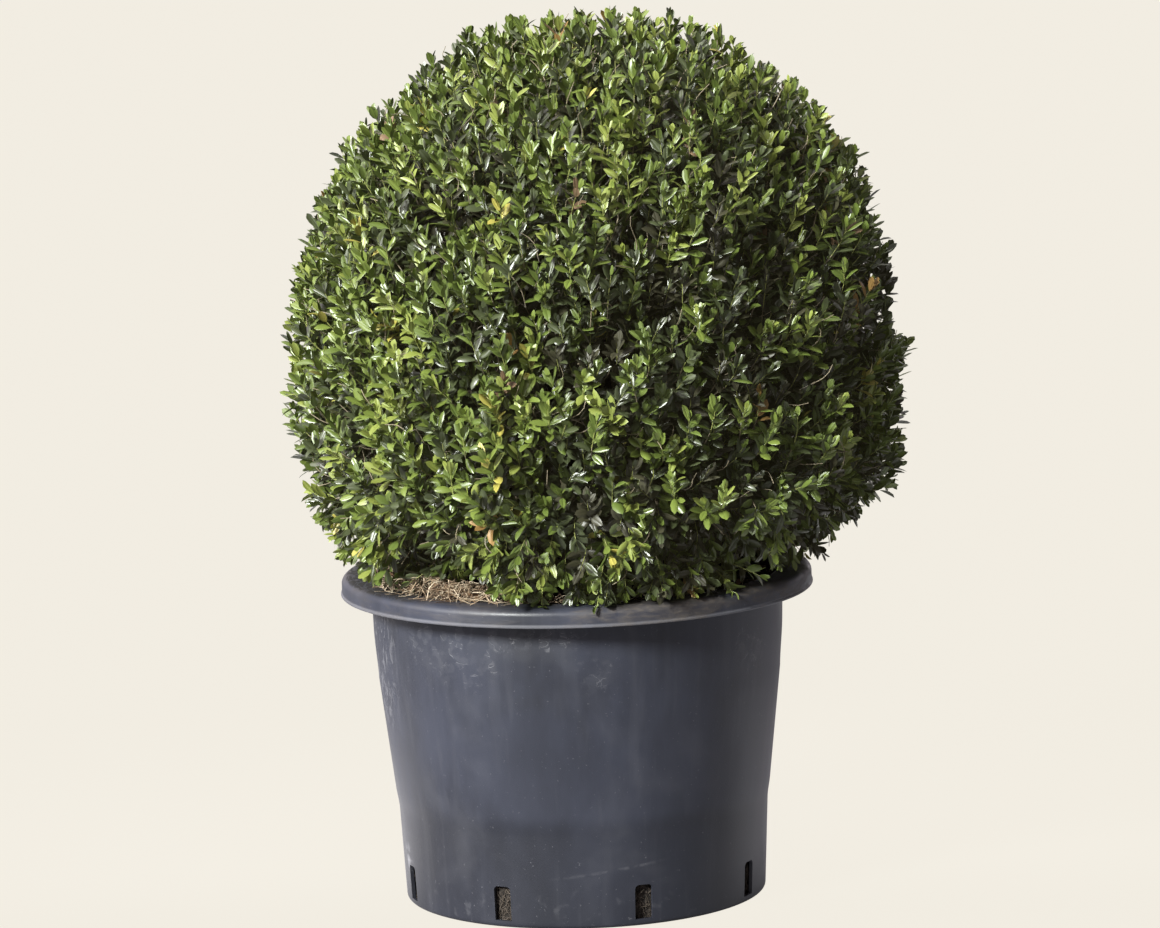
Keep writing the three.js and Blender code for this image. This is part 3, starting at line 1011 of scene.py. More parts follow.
def litter_ground(soil, radius, angle):
    """Height on which the litter lies: the root ball, or the rim where it has spilled over."""
    return np.where(radius < WALL[1].x - 0.006, soil_height(soil, radius, angle), RIM[1].z + 0.0005)


def root_ball_mesh(soil, rng, columns=180):
    """Points and faces of the crumbly root ball, a little smaller than the space it fills."""
    pot = bpy.context.scene.box_ball_pot
    inset = pot.wall_thickness + soil.recess
    low = SOIL[0].z
    outline = [(wall_radius(pot, low) - inset, low)]
    outline += [(wall_radius(pot, height) - inset, height) for height in slot_heights(pot)]
    outline += [(radius - inset, height) for radius, height in wall_above_slots(pot, SOIL[1].z)]
    side = np.array([(0.0, low), (0.5 * outline[0][0], low), *outline])
    rings = np.linspace(side[-1, 0], 0, 26)[1:]
    section = np.concatenate((side, np.stack((rings, np.full(len(rings), SOIL[1].z)), axis=1)))
    angles = np.linspace(0, 2 * math.pi, columns, endpoint=False)[None, :]
    radius = np.repeat(section[:, :1], columns, axis=1)
    height = np.repeat(section[:, 1:], columns, axis=1)
    on_top = np.arange(len(section))[:, None] >= len(side) - 1
    height = np.where(on_top, soil_height(soil, radius, angles), height)
    points = around_axis(radius, angles, height)
    rough = soil.crumb * (lumps(points, 0.021, rng) + 0.6 * lumps(points, 0.008, rng))
    points[..., 2] += np.where(on_top, 1.6 * rough, 0)
    shrink = 1 - np.where(on_top, 0, np.abs(rough)) / np.maximum(radius, 0.1)
    points[..., :2] *= shrink[..., None]
    return points.reshape(-1, 3), grid_faces(len(section), columns)


def root_fibres(soil, rng):
    """Thin roots over the side of the root ball behind each drainage slot."""
    pot = bpy.context.scene.box_ball_pot
    amount = soil.fibres * pot.slot_count
    slots = np.repeat(np.arange(pot.slot_count), soil.fibres)
    turns = pot.slot_first + 2 * math.pi / pot.slot_count * slots
    start_angle = turns + rng.uniform(-0.07, 0.07, amount)
    start_height = rng.uniform(pot.slot_bottom + 0.002, pot.slot_bottom + pot.slot_height + 0.004, amount)
    steps = np.linspace(0, 1, 6)[None, :]
    lean = rng.normal(scale=0.7, size=(amount, 1))
    size = rng.uniform(0.008, 0.022, (amount, 1))
    wiggle = rng.normal(scale=0.0012, size=(amount, 6)).cumsum(axis=1)
    base = wall_radius(pot, start_height)[:, None] - pot.wall_thickness - soil.recess
    angle = start_angle[:, None] + (np.sin(lean) * size * steps + wiggle) / base
    height = start_height[:, None] - np.cos(lean) * size * steps + wiggle[:, ::-1]
    height = np.maximum(height, SOIL[0].z + 0.001)
    waves = np.sin(steps * math.pi * rng.uniform(0.8, 3, (amount, 1)))
    radius = base + 0.0009 * waves + rng.uniform(-0.0004, 0.0005, (amount, 1))
    radii = rng.uniform(0.00016, 0.00042, (amount, 1)) * (1.1 - 0.7 * steps)
    return tubes(around_axis(radius, angle, height), radii, 3)


def litter_spots(soil, rng, amount):
    """Angle and radius of pieces of litter, a share of them in the heap against the rim."""
    heaped = rng.uniform(size=amount) < soil.heap_share
    in_heap = soil.heap_turn + rng.normal(scale=soil.heap_width, size=amount)
    angle = np.where(heaped, in_heap, rng.uniform(0, 2 * math.pi, amount))
    edge = SOIL[1].x + np.where(heaped, 0.012, -0.003)
    radius = np.clip(edge - np.abs(rng.normal(scale=0.024, size=amount)), 0.07, None)
    return angle, radius


def laid_on_ground(soil, paths):
    """The paths of straws drawn in from the rim, and kept between the ground and the litter's top."""
    reach = np.linalg.norm(paths[..., :2], axis=2)
    angle = np.arctan2(paths[..., 0], -paths[..., 1])
    heaped = heap_share_at(soil, angle, soil.heap_width)
    limit = np.where(heaped > 0.45, RIM[1].x - 0.010, SOIL[1].x - 0.0015)
    paths[..., :2] *= np.minimum(1, limit / reach)[..., None]
    ground = litter_ground(soil, np.minimum(reach, limit), angle)
    paths[..., 2] = np.clip(paths[..., 2], ground, ground + 0.0055 + 0.0115 * heaped)
    return paths


def straw_mesh(soil, rng):
    """Points and faces of the tangle of dry straws, and a tone for each face."""
    amount, steps, sides = soil.straws, 5, 3
    angle, radius = litter_spots(soil, rng, amount)
    depth = 0.004 + 0.009 * heap_share_at(soil, angle, soil.heap_width)
    height = litter_ground(soil, radius, angle) + depth * rng.uniform(0.1, 0.9, amount)
    middle = around_axis(radius, angle, height)
    way = rng.uniform(0, 2 * math.pi, amount)
    slope = rng.normal(scale=1.1, size=amount)
    heading = unit(np.stack((np.cos(way), np.sin(way), slope), axis=1))
    sideways = unit(np.cross(heading, rng.normal(size=(amount, 3))))
    size = soil.straw_length * rng.lognormal(0, 0.35, amount)
    along = np.linspace(-0.5, 0.5, steps)
    curl = rng.normal(scale=0.45, size=amount)
    paths = middle[:, None] + heading[:, None] * (size[:, None] * along)[..., None]
    paths += sideways[:, None] * (curl[:, None] * size[:, None] * (4 * along**2 - 0.5))[..., None]
    radii = soil.straw_radius * rng.lognormal(0, 0.35, (amount, 1)) * (1 - 0.5 * np.abs(along))
    points, faces = tubes(laid_on_ground(soil, paths), radii, sides)
    tone = rng.choice(len(STRAW_FINISHES), amount, p=STRAW_SHARES)
    return points, faces, np.repeat(tone, (steps - 1) * sides)


def old_leaf_mesh(soil, plant, rng):
    """Points and faces of the brown leaves that lie among the straws."""
    amount = soil.old_leaves
    angle, radius = litter_spots(soil, rng, amount)
    radius = np.minimum(radius, SOIL[1].x - 0.004)
    height = soil_height(soil, radius, angle) + rng.uniform(0.002, 0.007, amount)
    foot = around_axis(radius, angle, height)
    way = rng.uniform(0, 2 * math.pi, amount)
    along = unit(np.stack((np.cos(way), np.sin(way), rng.normal(scale=0.15, size=amount)), axis=1))
    size = plant.leaf_length * rng.uniform(0.6, 0.95, amount)
    leaves = SimpleNamespace(
        foot=foot,
        along=along,
        face=unit(UPWARD + rng.normal(scale=0.3, size=(amount, 3))),
        length=size,
        width=size * plant.leaf_width / plant.leaf_length,
        fold=rng.normal(0.1, 0.35, amount),
        bend=rng.normal(0.3, 0.4, amount),
        twist=rng.normal(0, 0.4, amount),
    )
    points, faces, normals = leaf_mesh(leaves, SHADE_LEAF)
    reach = np.linalg.norm(points[:, :2], axis=1)
    points[:, :2] *= np.minimum(1, (SOIL[1].x - 0.001) / reach)[:, None]
    return points, faces, normals


# ---------- leaves ----------

# A leaf's outline: how far along each pair of edge points lies, and its share of the half width.
FULL_LEAF = ((0.21, 0.64), (0.51, 1.0), (0.82, 0.74))
SHADE_LEAF = ((0.30, 0.80), (0.76, 0.92))
RIM_ROLL = 0.75  # how far a leaf's surface turns over between its midrib and its rim


def leaf_normals(face, beside, along, tilt, slope):
    """Normals of leaves at each station, tilted to the side and sloped along the leaf."""
    level = face[:, None] * np.cos(tilt)[..., None] - beside[:, None] * np.sin(tilt)[..., None]
    return level * np.cos(slope) + along[:, None] * np.sin(slope)


def leaf_strip(pairs):
    """Triangles of one half of a leaf, from its midrib points and then its rim points."""
    rib, rim = np.arange(pairs + 2), np.arange(pairs + 2, 2 * pairs + 2)
    strip = [(rib[0], rib[1], rim[0])]
    for i in range(pairs - 1):
        strip.append((rib[i + 1], rim[i + 1], rim[i]))
        strip.append((rib[i + 1], rib[i + 2], rim[i + 1]))
    strip.append((rib[-2], rib[-1], rim[-1]))
    return np.array(strip)


def leaf_mesh(leaves, outline):
    """Points, triangles and normals of many leaves.

    Each half is a strip of its own, so the midrib is crisp, and its normals roll over at the rim."""
    amount = len(leaves.foot)
    along = unit(leaves.along)
    face = unit(leaves.face - (leaves.face * along).sum(axis=1, keepdims=True) * along)
    beside = np.cross(face, along)
    stations = np.array([0.0, *(at for at, _ in outline), 1.0])
    widths = np.array([width for _, width in outline])
    bend = leaves.bend[:, None]
    forward = leaves.length[:, None] * stations * (1 - (bend * stations) ** 2 / 6)
    down = -leaves.length[:, None] * bend * stations**2 / 2
    middle = leaves.foot[:, None] + along[:, None] * forward[..., None] + face[:, None] * down[..., None]
    inner = middle[:, 1:-1]
    twist = leaves.twist[:, None] * stations[None, 1:-1]
    half = leaves.width[:, None] / 2 * widths[None]
    slope = (bend * stations)[..., None]
    sides, normals = [], []
    for hand in (1, -1):
        tilt = hand * leaves.fold[:, None] + twist
        out = beside[:, None] * np.cos(tilt)[..., None] + face[:, None] * np.sin(tilt)[..., None]
        edge = inner + hand * out * half[..., None]
        sides.append(np.concatenate((middle, edge), axis=1))
        fold = hand * leaves.fold[:, None] + 0 * stations
        at_rib = leaf_normals(face, beside, along, fold, slope)
        at_rim = leaf_normals(face, beside, along, tilt - hand * RIM_ROLL, slope[:, 1:-1])
        normals.append(np.concatenate((at_rib, at_rim), axis=1))
    points = np.stack(sides, axis=1)
    strip = leaf_strip(len(outline))
    side_points = points.shape[2]
    both = np.concatenate((strip, strip[:, ::-1] + side_points))
    starts = np.arange(amount) * 2 * side_points
    faces = both[None] + starts[:, None, None]
    return points.reshape(-1, 3), faces.reshape(-1, 3), np.stack(normals, axis=1).reshape(-1, 3)


def off_the_rim(points):
    """The points of leaves and twigs, laid on the rim or kept above the litter inside it."""
    reach = np.linalg.norm(points[:, :2], axis=1)
    mouth = WALL[1].x - 0.004
    over_rim = (reach > mouth) & (reach < SKIRT[1].x + 0.0015)
    above_ground = np.where(reach <= mouth, SOIL[1].z + 0.006, 0)
    lowest = np.where(over_rim, RIM[1].z + 0.0012, above_ground)
    points[:, 2] = np.maximum(points[:, 2], lowest)
    return points


# ---------- growth ----------


def ball_centre(plant):
    """Middle of the ball at its widest level."""
    low, high = BALL
    level = low.z + plant.widest_share * (high.z - low.z)
    return np.array(((low.x + high.x) / 2, (low.y + high.y) / 2, level))


def surface_spots(directions, centre):
    """Where lines from outside towards the centre meet the clipped surface."""
    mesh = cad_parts["foliage_ball"].data
    corners = [vertex.co for vertex in mesh.vertices]
    tree = BVHTree.FromPolygons(corners, [list(face.vertices) for face in mesh.polygons])
    spots = []
    for direction in directions:
        hit = tree.ray_cast(Vector(centre + direction), Vector(-direction))[0]
        if hit is None:
            raise RuntimeError("a line towards the middle of the foliage missed it")
        spots.append(hit)
    return np.array(spots)


def outward_at(spots, centre):
    """The way out of the rounded ball at each spot."""
    low, high = BALL
    half = (high.x - low.x) / 2
    rise = np.where(spots[:, 2] > centre[2], high.z - centre[2], 1.1 * half)
    level = np.full(len(spots), half)
    return unit((spots - centre) / np.stack((level, level, rise), axis=1) ** 2)


def stem_point(plant, along):
    """A point on the stem's middle line, from 0 at the soil to 1 at its tip."""
    x, y, _ = plant.stem_foot
    return np.array((x + plant.stem_lean * along, y, STEM[0].z + (STEM[1].z - STEM[0].z) * along))


def nearness(spots, where, radius):
    """1 at a place, dying away round it."""
    return np.exp(-((spots - np.array(where)) ** 2).sum(axis=1) / (2 * radius**2))


def hollow_depths(spots, hollows, plant):
    """How much deeper each spot lies because of the hollows near it."""
    depth = nearness(spots, plant.parting, plant.parting_radius)
    for hollow, size in hollows:
        depth = np.maximum(depth, nearness(spots, hollow, size * plant.hollow_radius))
    return plant.hollow_depth * depth


# The flat underside of the ball bears no sprays below this rise, out to this share of its radius.
BARE_UNDERSIDE_RISE = 0.016
BARE_UNDERSIDE_SHARE = 0.6
# Rise above the ball's lowest point through which its sprays go from drooping to upright.
LOW_BAND = (0.02, 0.13)


def place_sprays(kind, plant, rng, centre, hollows):
    """Sprays of one kind: where each starts, the ways it heads at both ends, and its length."""
    spots = surface_spots(even_directions(kind.amount, rng), centre)
    level = np.linalg.norm(spots[:, :2] - centre[:2], axis=1)
    above = spots[:, 2] > BALL[0].z + BARE_UNDERSIDE_RISE
    spots = spots[above | (level > BARE_UNDERSIDE_SHARE * (BALL[1].x - centre[0]))]
    amount = len(spots)
    outward = outward_at(spots, centre)
    low = 1 - smoothstep(BALL[0].z + LOW_BAND[0], BALL[0].z + LOW_BAND[1], spots[:, 2])[:, None]
    lift = (1 - low) * kind.lift - 0.35 * low
    first = unit(outward + UPWARD * 0.45 * lift + rng.normal(scale=0.2, size=(amount, 3)))
    last = unit(outward * kind.out + UPWARD * lift + rng.normal(scale=kind.stray, size=(amount, 3)))
    size = rng.uniform(*kind.length, amount)
    depth = rng.uniform(*kind.depth, amount) + rng.normal(scale=kind.ragged, size=amount)
    depth = np.maximum(depth, kind.depth[0] - 1.2 * kind.ragged)
    depth = depth + hollow_depths(spots, hollows, plant) * rng.uniform(0.6, 1.1, amount)
    depth = depth + sum(cut * nearness(spots, where, radius) for where, radius, cut in CUTS)
    tip = spots - outward * depth[:, None]
    foot = tip - (first + last) / 2 * size[:, None]
    return SimpleNamespace(
        kind=kind,
        foot=foot,
        first=first,
        last=last,
        size=size,
        outward=outward,
        depth=depth,
        low=low[:, 0],
    )


def spray_point(spray, along):
    """Points at shares along each spray's stalk, and its heading there."""
    first, last = spray.first[:, None], spray.last[:, None]
    along = along[..., None]
    size = spray.size[:, None, None]
    point = spray.foot[:, None] + size * (first * (along - along**2 / 2) + last * along**2 / 2)
    return point, unit(first * (1 - along) + last * along)


def split_in_two(points, rng):
    """Which points lie past a cut across their longest spread, near its middle."""
    offset = points - points.mean(axis=0)
    longest = np.linalg.eigh(offset.T @ offset)[1][:, -1]
    along = offset @ longest
    return along > np.quantile(along, rng.uniform(0.35, 0.65))


def halves(members, feet, rng):
    """A group of sprays as two groups."""
    past = split_in_two(feet[members], rng)
    return [members[past], members[~past]]


def first_boughs(plant, feet, rng):
    """Where each bough leaves the stem, its heading and the sprays it carries, the lowest first."""
    groups = [np.arange(len(feet))]
    for _ in range(plant.bough_doublings):
        groups = [part for group in groups for part in halves(group, feet, rng)]
    groups.sort(key=lambda group: feet[group, 2].mean())
    boughs = []
    for rank, group in enumerate(groups):
        along = plant.lowest_bough + (1 - plant.lowest_bough) * rank / (len(groups) - 1)
        boughs.append((stem_point(plant, 0.97 * along), UPWARD, group))
    return boughs


def grow_limbs(plant, feet, rng):
    """Runs limbs from the stem, fork by fork, towards ever smaller groups of sprays.

    Returns the limbs, and the fork that each spray leaves from."""
    waiting = first_boughs(plant, feet, rng)
    limbs = SimpleNamespace(start=[], control=[], end=[], carried=[])
    forks = np.zeros_like(feet)
    while waiting:
        start, heading, members = waiting.pop()
        middle = feet[members].mean(axis=0)
        spread = math.sqrt(((feet[members] - middle) ** 2).sum(axis=1).mean())
        way = middle - start
        distance = float(np.linalg.norm(way))
        shortest, longest = 0.3 * distance, 0.85 * distance
        reach = float(np.clip(distance - plant.fork_setback * spread, shortest, longest))
        end = start + way * (reach / distance) + rng.normal(scale=plant.bend * reach, size=3)
        control = start + (heading * 0.5 + way / distance * 0.5) * 0.5 * reach
        limbs.start.append(start)
        limbs.control.append(control)
        limbs.end.append(end)
        limbs.carried.append(len(members))
        heading = unit(end - control)
        if len(members) <= plant.sprays_at_a_fork:
            forks[members] = end
        else:
            waiting += [(end, heading, part) for part in halves(members, feet, rng)]
    for name in ("start", "control", "end", "carried"):
        setattr(limbs, name, np.array(getattr(limbs, name)))
    return limbs, forks


def spray_kinds(plant):
    """The kinds of spray that fill the ball, and the kind that droops over the rim.

    Of each: how many, how deep the tips lie and how ragged, the length, how it heads upwards, outwards
    and astray, where its pairs of leaves sit, whether a bud ends it, its leaf and whether it is shaded."""
    crown = SimpleNamespace(
        amount=plant.crown_count,
        depth=(0.003, 0.012),
        ragged=0.0028,
        length=(0.046, 0.062),
        lift=0.95,
        out=0.50,
        stray=0.22,
        pairs=(0.18, 0.34, 0.49, 0.63, 0.76, 0.87),
        bud=True,
        outline=FULL_LEAF,
        shade=False,
    )
    between_them = SimpleNamespace(
        amount=plant.between_count,
        depth=(0.024, 0.045),
        ragged=0.004,
        length=(0.036, 0.048),
        lift=0.80,
        out=0.55,
        stray=0.30,
        pairs=(0.25, 0.47, 0.67, 0.85),
        bud=True,
        outline=FULL_LEAF,
        shade=False,
    )
    inner = SimpleNamespace(
        amount=plant.inner_count,
        depth=(0.048, 0.085),
        ragged=0.006,
        length=(0.030, 0.042),
        lift=0.35,
        out=0.8,
        stray=0.35,
        pairs=(0.35, 0.62, 0.88),
        bud=False,
        outline=SHADE_LEAF,
        shade=True,
    )
    bare = SimpleNamespace(
        amount=plant.bare_count,
        depth=(0.001, 0.020),
        ragged=0.004,
        length=(0.030, 0.050),
        lift=0.55,
        out=0.6,
        stray=0.40,
        pairs=(),
    )
    drooping = SimpleNamespace(
        amount=plant.overhang_count,
        length=(0.046, 0.058),
        pairs=(0.30, 0.50, 0.68, 0.85),
        bud=True,
        outline=FULL_LEAF,
        shade=False,
    )
    return (crown, between_them, inner, bare), drooping


# How deep and how low the sprays over the rim count as lying when their tones are dealt out, which paints
# them darker as painted shade. The lowest sprays of the ball count as 1 low.
OVERHANG_DEPTH = 0.030
OVERHANG_LOW = 2.2


def drooping_sprays(kind, plant, rng):
    """The sprays that bend down over the rim, with the same values as the others."""
    amount = kind.amount
    angle = plant.overhang_turn + rng.uniform(-plant.overhang_width, plant.overhang_width, amount)
    starts_at = rng.uniform(0.158, 0.184, amount)
    foot = around_axis(starts_at, angle, RIM[1].z + rng.uniform(0.024, 0.036, amount))
    outward = around_axis(np.ones(amount), angle, 0.0)
    first = unit(outward - 0.15 * UPWARD + rng.normal(scale=0.12, size=(amount, 3)))
    last = unit(0.6 * outward - 0.75 * UPWARD + rng.normal(scale=0.3, size=(amount, 3)))
    size = rng.uniform(*kind.length, amount)
    return SimpleNamespace(
        kind=kind,
        foot=foot,
        first=first,
        last=last,
        size=size,
        outward=outward,
        depth=np.full(amount, OVERHANG_DEPTH),
        low=np.full(amount, OVERHANG_LOW),
    )


def grow_plant(plant):
    """Everything that grows, worked out from the settings and the seed."""
    rng = np.random.default_rng(plant.seed)
    centre = ball_centre(plant)
    crowded = rng.uniform(size=(plant.hollow_count, 1)) < plant.open_share
    ways = unit(rng.normal(scale=0.45, size=(plant.hollow_count, 3)) + crowded * np.array(plant.open_side))
    hollow_spots = surface_spots(ways, centre)
    hollows = list(zip(hollow_spots, rng.uniform(0.6, 1.5, plant.hollow_count)))
    kinds, drooping = spray_kinds(plant)
    sprays = [place_sprays(kind, plant, rng, centre, hollows) for kind in kinds]
    sprays.append(drooping_sprays(drooping, plant, rng))
    feet = np.concatenate([spray.foot for spray in sprays])
    limbs, forks = grow_limbs(plant, feet, rng)
    first = 0
    for spray in sprays:
        last = first + len(spray.foot)
        spray.fork = forks[first:last]
        first = last
    return SimpleNamespace(sprays=sprays, limbs=limbs)


grown = {}  # the last growth, by the settings that it grew from


def grown_plant():
    """The growth for the present settings, worked out again only when they change."""
    plant = bpy.context.scene.box_ball_plant
    values = [getattr(plant, name) for name in plant.__annotations__]
    key = tuple(tuple(value) if hasattr(value, "__len__") else value for value in values)
    if key not in grown:
        grown.clear()
        grown[key] = grow_plant(plant)
    return grown[key]


THICK_LIMB = 0.0045  # a limb at least this thick is a bough, with more sides and steps
THIN_LIMB = 0.0018  # a limb thinner than this is drawn with the twigs
TWIG_SIDES = 3


def limb_radius(plant, carried):
    """Radius of a limb that carries so many sprays."""
    return plant.twig_radius * np.asarray(carried, dtype=float) ** plant.thickening


def stem_radius(plant, height):
    """Radius of the stem at a height above the soil."""
    tall = STEM[1].z - STEM[0].z
    taper = plant.stem_foot_radius + (plant.stem_top_radius - plant.stem_foot_radius) * height / tall
    return taper + plant.stem_flare * np.exp(-height / plant.stem_flare_height)


def bark_relief(points):
    """How far the bark stands out or in, as a share of the limb's radius."""
    rng = np.random.default_rng(3)
    long_way = points * np.array((1.0, 1.0, 0.3))
    return 0.06 * lumps(long_way, 0.014, rng) + 0.045 * lumps(long_way, 0.006, rng)


def bough_mesh(plant, limbs):
    """Points and faces of the stem and every limb that is too thick for a twig."""
    along = np.linspace(0, 1, 48)
    line = np.array([stem_point(plant, share_up) for share_up in along])
    line[:, 2] -= 0.004 * (1 - along)  # the foot stands a little in the soil
    tall = STEM[1].z - STEM[0].z
    radii = stem_radius(plant, along * tall)
    radii[-4:] *= (0.94, 0.8, 0.5, 0.05)  # the tip is rounded off
    parts = [tubes(line[None], radii[None], 28, bark_relief)]
    radius = limb_radius(plant, limbs.carried)
    for thinnest, thickest, steps, sides in ((THICK_LIMB, np.inf, 14, 12), (THIN_LIMB, THICK_LIMB, 7, 8)):
        chosen = (radius >= thinnest) & (radius < thickest)
        paths = curve_points(limbs.start[chosen], limbs.control[chosen], limbs.end[chosen], steps)
        taper = radius[chosen][:, None] * np.linspace(1.06, 0.86, steps)
        parts.append(tubes(paths, taper, sides, bark_relief))
    return joined(parts)


def curled_twigs(spray, rng, steps=7):
    """Paths of the bare twigs, each curled its own way towards its tip, and a tone for each step."""
    amount = len(spray.foot)
    along = np.broadcast_to(np.linspace(0, 1, steps), (amount, steps))
    path, heading = spray_point(spray, along)
    sideways = unit(np.cross(heading, rng.normal(size=(amount, 1, 3))))
    across = np.cross(heading, sideways)
    angle = rng.uniform(0, 2 * math.pi, (amount, 1)) + rng.uniform(2, 5, (amount, 1)) * along
    reach = rng.uniform(0.05, 0.22, (amount, 1)) * spray.size[:, None] * along
    curl = sideways * (reach * np.cos(angle))[..., None] + across * (reach * np.sin(angle))[..., None]
    path = np.concatenate((spray.fork[:, None], path + curl), axis=1)
    return path, (GREY,) * (steps // 2) + (TAN,) * (steps - steps // 2)


def twig_tubes(plant, paths, shares, step_tones):
    """Points, faces and tones of twigs along paths, with a share of the radius at each point."""
    radii = plant.twig_radius * np.broadcast_to(shares, paths.shape[:2])
    points, faces = tubes(paths, radii, TWIG_SIDES)
    return points, faces, np.tile(np.repeat(step_tones, TWIG_SIDES), len(paths))


def limb_twigs(plant, limbs):
    """Points, faces and tones of the limbs that are too thin for boughs."""
    radius = limb_radius(plant, limbs.carried)
    thin = radius < THIN_LIMB
    taper = np.array((1.05, 0.97, 0.9))
    paths = curve_points(limbs.start[thin], limbs.control[thin], limbs.end[thin], len(taper))
    points, faces = tubes(paths, radius[thin][:, None] * taper, TWIG_SIDES)
    return points, faces, np.full(len(faces), GREY)


def bare_twigs(plant, spray):
    """Points, faces and tones of the twigs with no leaves."""
    paths, tones = curled_twigs(spray, np.random.default_rng(plant.seed + 2))
    return twig_tubes(plant, paths, np.linspace(1.1, 0.55, paths.shape[1]), tones)


def leafy_stalks(plant, spray):
    """Points, faces and tones of the stalks of one kind of leafy spray, each from its fork."""
    stations = np.array((0.0, 0.4, 0.72, 1.0))
    stalks, _ = spray_point(spray, np.broadcast_to(stations, (len(spray.foot), len(stations))))
    paths = np.concatenate((spray.fork[:, None], stalks), axis=1)
    tones = (GREY, TAN, TAN, GREEN) if spray.kind.shade else (GREY, TAN, GREEN, GREEN)
    return twig_tubes(plant, paths, np.array((1.0, 1.0, 0.9, 0.75, 0.4)), tones)


def deal_tones(spray, plant, rng):
    """A tone for each spray, with a few odd ones: darker, as painted shade, for the inner sprays and the
    deeper, the lower and the more to the shadier side a spray lies.
    """
    amount = len(spray.foot)
    # Sprays in the shade inside mostly take the deepest tone: painted shade.
    if spray.kind.shade:
        return rng.choice((DEEP, DARK, MID), amount, p=(0.68, 0.25, 0.07))
    plain = rng.choice((DARK, MID, FRESH, YOUNG), amount, p=(0.22, 0.38, 0.28, 0.12))
    # Sprays that lie deep, low and towards the shadier side step to darker tones: painted shade.
    sunk = smoothstep(0.018, 0.055, spray.depth)
    shadier = smoothstep(0.1, 0.8, spray.outward @ unit(np.array(plant.shadier_side)))
    for chance_of_darker in (sunk, 0.8 * sunk, 0.28 * spray.low, 0.48 * shadier):
        plain = np.maximum(plain - (rng.uniform(size=amount) < chance_of_darker), DEEP)
    not_odd = -1
    odd = rng.choice((not_odd, YELLOW, ORANGE, BROWN), amount, p=(0.96, 0.025, 0.01, 0.005))
    return np.where(odd == not_odd, plain, odd)


def leaf_tones(tone, rank, rng):
    """A tone for each leaf from its spray's: some a step darker with age low down or a step younger high up.
    """
    shape = (len(tone), len(rank))
    step = (rng.uniform(size=shape) < 0.35 * rank).astype(int)
    step -= (rng.uniform(size=shape) < 0.5 * (1 - rank)).astype(int)
    plain = np.where(tone > YOUNG, FRESH, tone)[:, None]
    stepped = np.clip(plain + step, np.minimum(plain, DARK), YOUNG)
    odd = (tone[:, None] > YOUNG) & (rng.uniform(size=shape) < 0.35)
    return np.where(odd, tone[:, None], stepped)


# How a leaf's size and its angle to the stalk, in degrees, change from low on a spray to its bud.
LEAF_STATIONS = (0.2, 0.5, 0.85, 0.99)
LEAF_SIZES = (0.88, 1.0, 0.90, 0.50)
LEAF_OPENINGS = (58, 50, 36, 15)
BUD_LEVEL = 0.985


def leaf_places(spray, levels, rng):
    """Where each pair of leaves leaves its stalk, the stalk's heading and the way to one side."""
    amount, pairs = len(spray.foot), len(levels)
    along = levels + rng.normal(scale=0.018, size=(amount, pairs))
    point, heading = spray_point(spray, np.minimum(along, 1.0))
    reference = unit(spray.outward + 0.37 * UPWARD + 0.21)[:, None]
    beside = unit(np.cross(heading, reference))
    across = np.cross(heading, beside)
    around = rng.uniform(0, math.pi, (amount, 1)) + math.pi / 2 * np.arange(pairs)
    around = around + rng.normal(scale=0.22, size=(amount, pairs))
    return point, heading, np.cos(around)[..., None] * beside + np.sin(around)[..., None] * across


def spray_leaves(spray, plant, rng):
    """Every leaf of one kind of spray, in pairs set crosswise up the stalk, and their tones."""
    kind = spray.kind
    levels = np.array((*kind.pairs, BUD_LEVEL) if kind.bud else kind.pairs)
    amount, pairs = len(spray.foot), len(levels)
    rank = np.arange(pairs) / (pairs - 1)
    size = np.interp(levels, LEAF_STATIONS, LEAF_SIZES)
    opening = np.radians(np.interp(levels, LEAF_STATIONS, LEAF_OPENINGS))
    point, heading, side_way = leaf_places(spray, levels, rng)
    light = unit(0.55 * spray.outward + 0.8 * UPWARD)[:, None]
    tone = deal_tones(spray, plant, rng)
    parts = SimpleNamespace(foot=[], along=[], face=[], length=[], width=[], fold=[], bend=[], twist=[])
    tones = []
    for hand in (1, -1):
        open_now = opening + rng.normal(scale=0.15, size=(amount, pairs))
        sine, cosine = np.sin(open_now)[..., None], np.cos(open_now)[..., None]
        way = cosine * heading + hand * sine * side_way + rng.normal(scale=0.08, size=heading.shape)
        face = sine * heading - hand * cosine * side_way + 0.35 * light
        longer = rng.normal(1, 0.10, (amount, pairs)).clip(0.7, 1.25)
        wider = rng.normal(1, 0.09, (amount, pairs)).clip(0.7, 1.3)
        parts.foot.append(point + hand * side_way * plant.twig_radius)
        parts.along.append(way)
        parts.face.append(face + rng.normal(scale=0.22, size=face.shape))
        parts.length.append(plant.leaf_length * size * longer)
        parts.width.append(plant.leaf_width * (0.35 + 0.65 * size) * wider)
        parts.fold.append(rng.normal(0.22, 0.17, (amount, pairs)) + 0.12 * rank)
        parts.bend.append(rng.normal(0.32, 0.25, (amount, pairs)) - 0.35 * rank)
        parts.twist.append(rng.normal(0, 0.22, (amount, pairs)))
        tones.append(leaf_tones(tone, rank, rng))
    leaves = SimpleNamespace()
    for name in vars(parts):
        values = np.stack(getattr(parts, name), axis=2)
        flat = (-1, 3) if values.ndim == 4 else (-1,)
        setattr(leaves, name, values.reshape(flat))
    return leaves, np.stack(tones, axis=2).ravel()


def some_leaves(leaves, first, last):
    """The leaves from first up to last."""
    return SimpleNamespace(**{name: values[first:last] for name, values in vars(leaves).items()})


# ---------- stage ----------


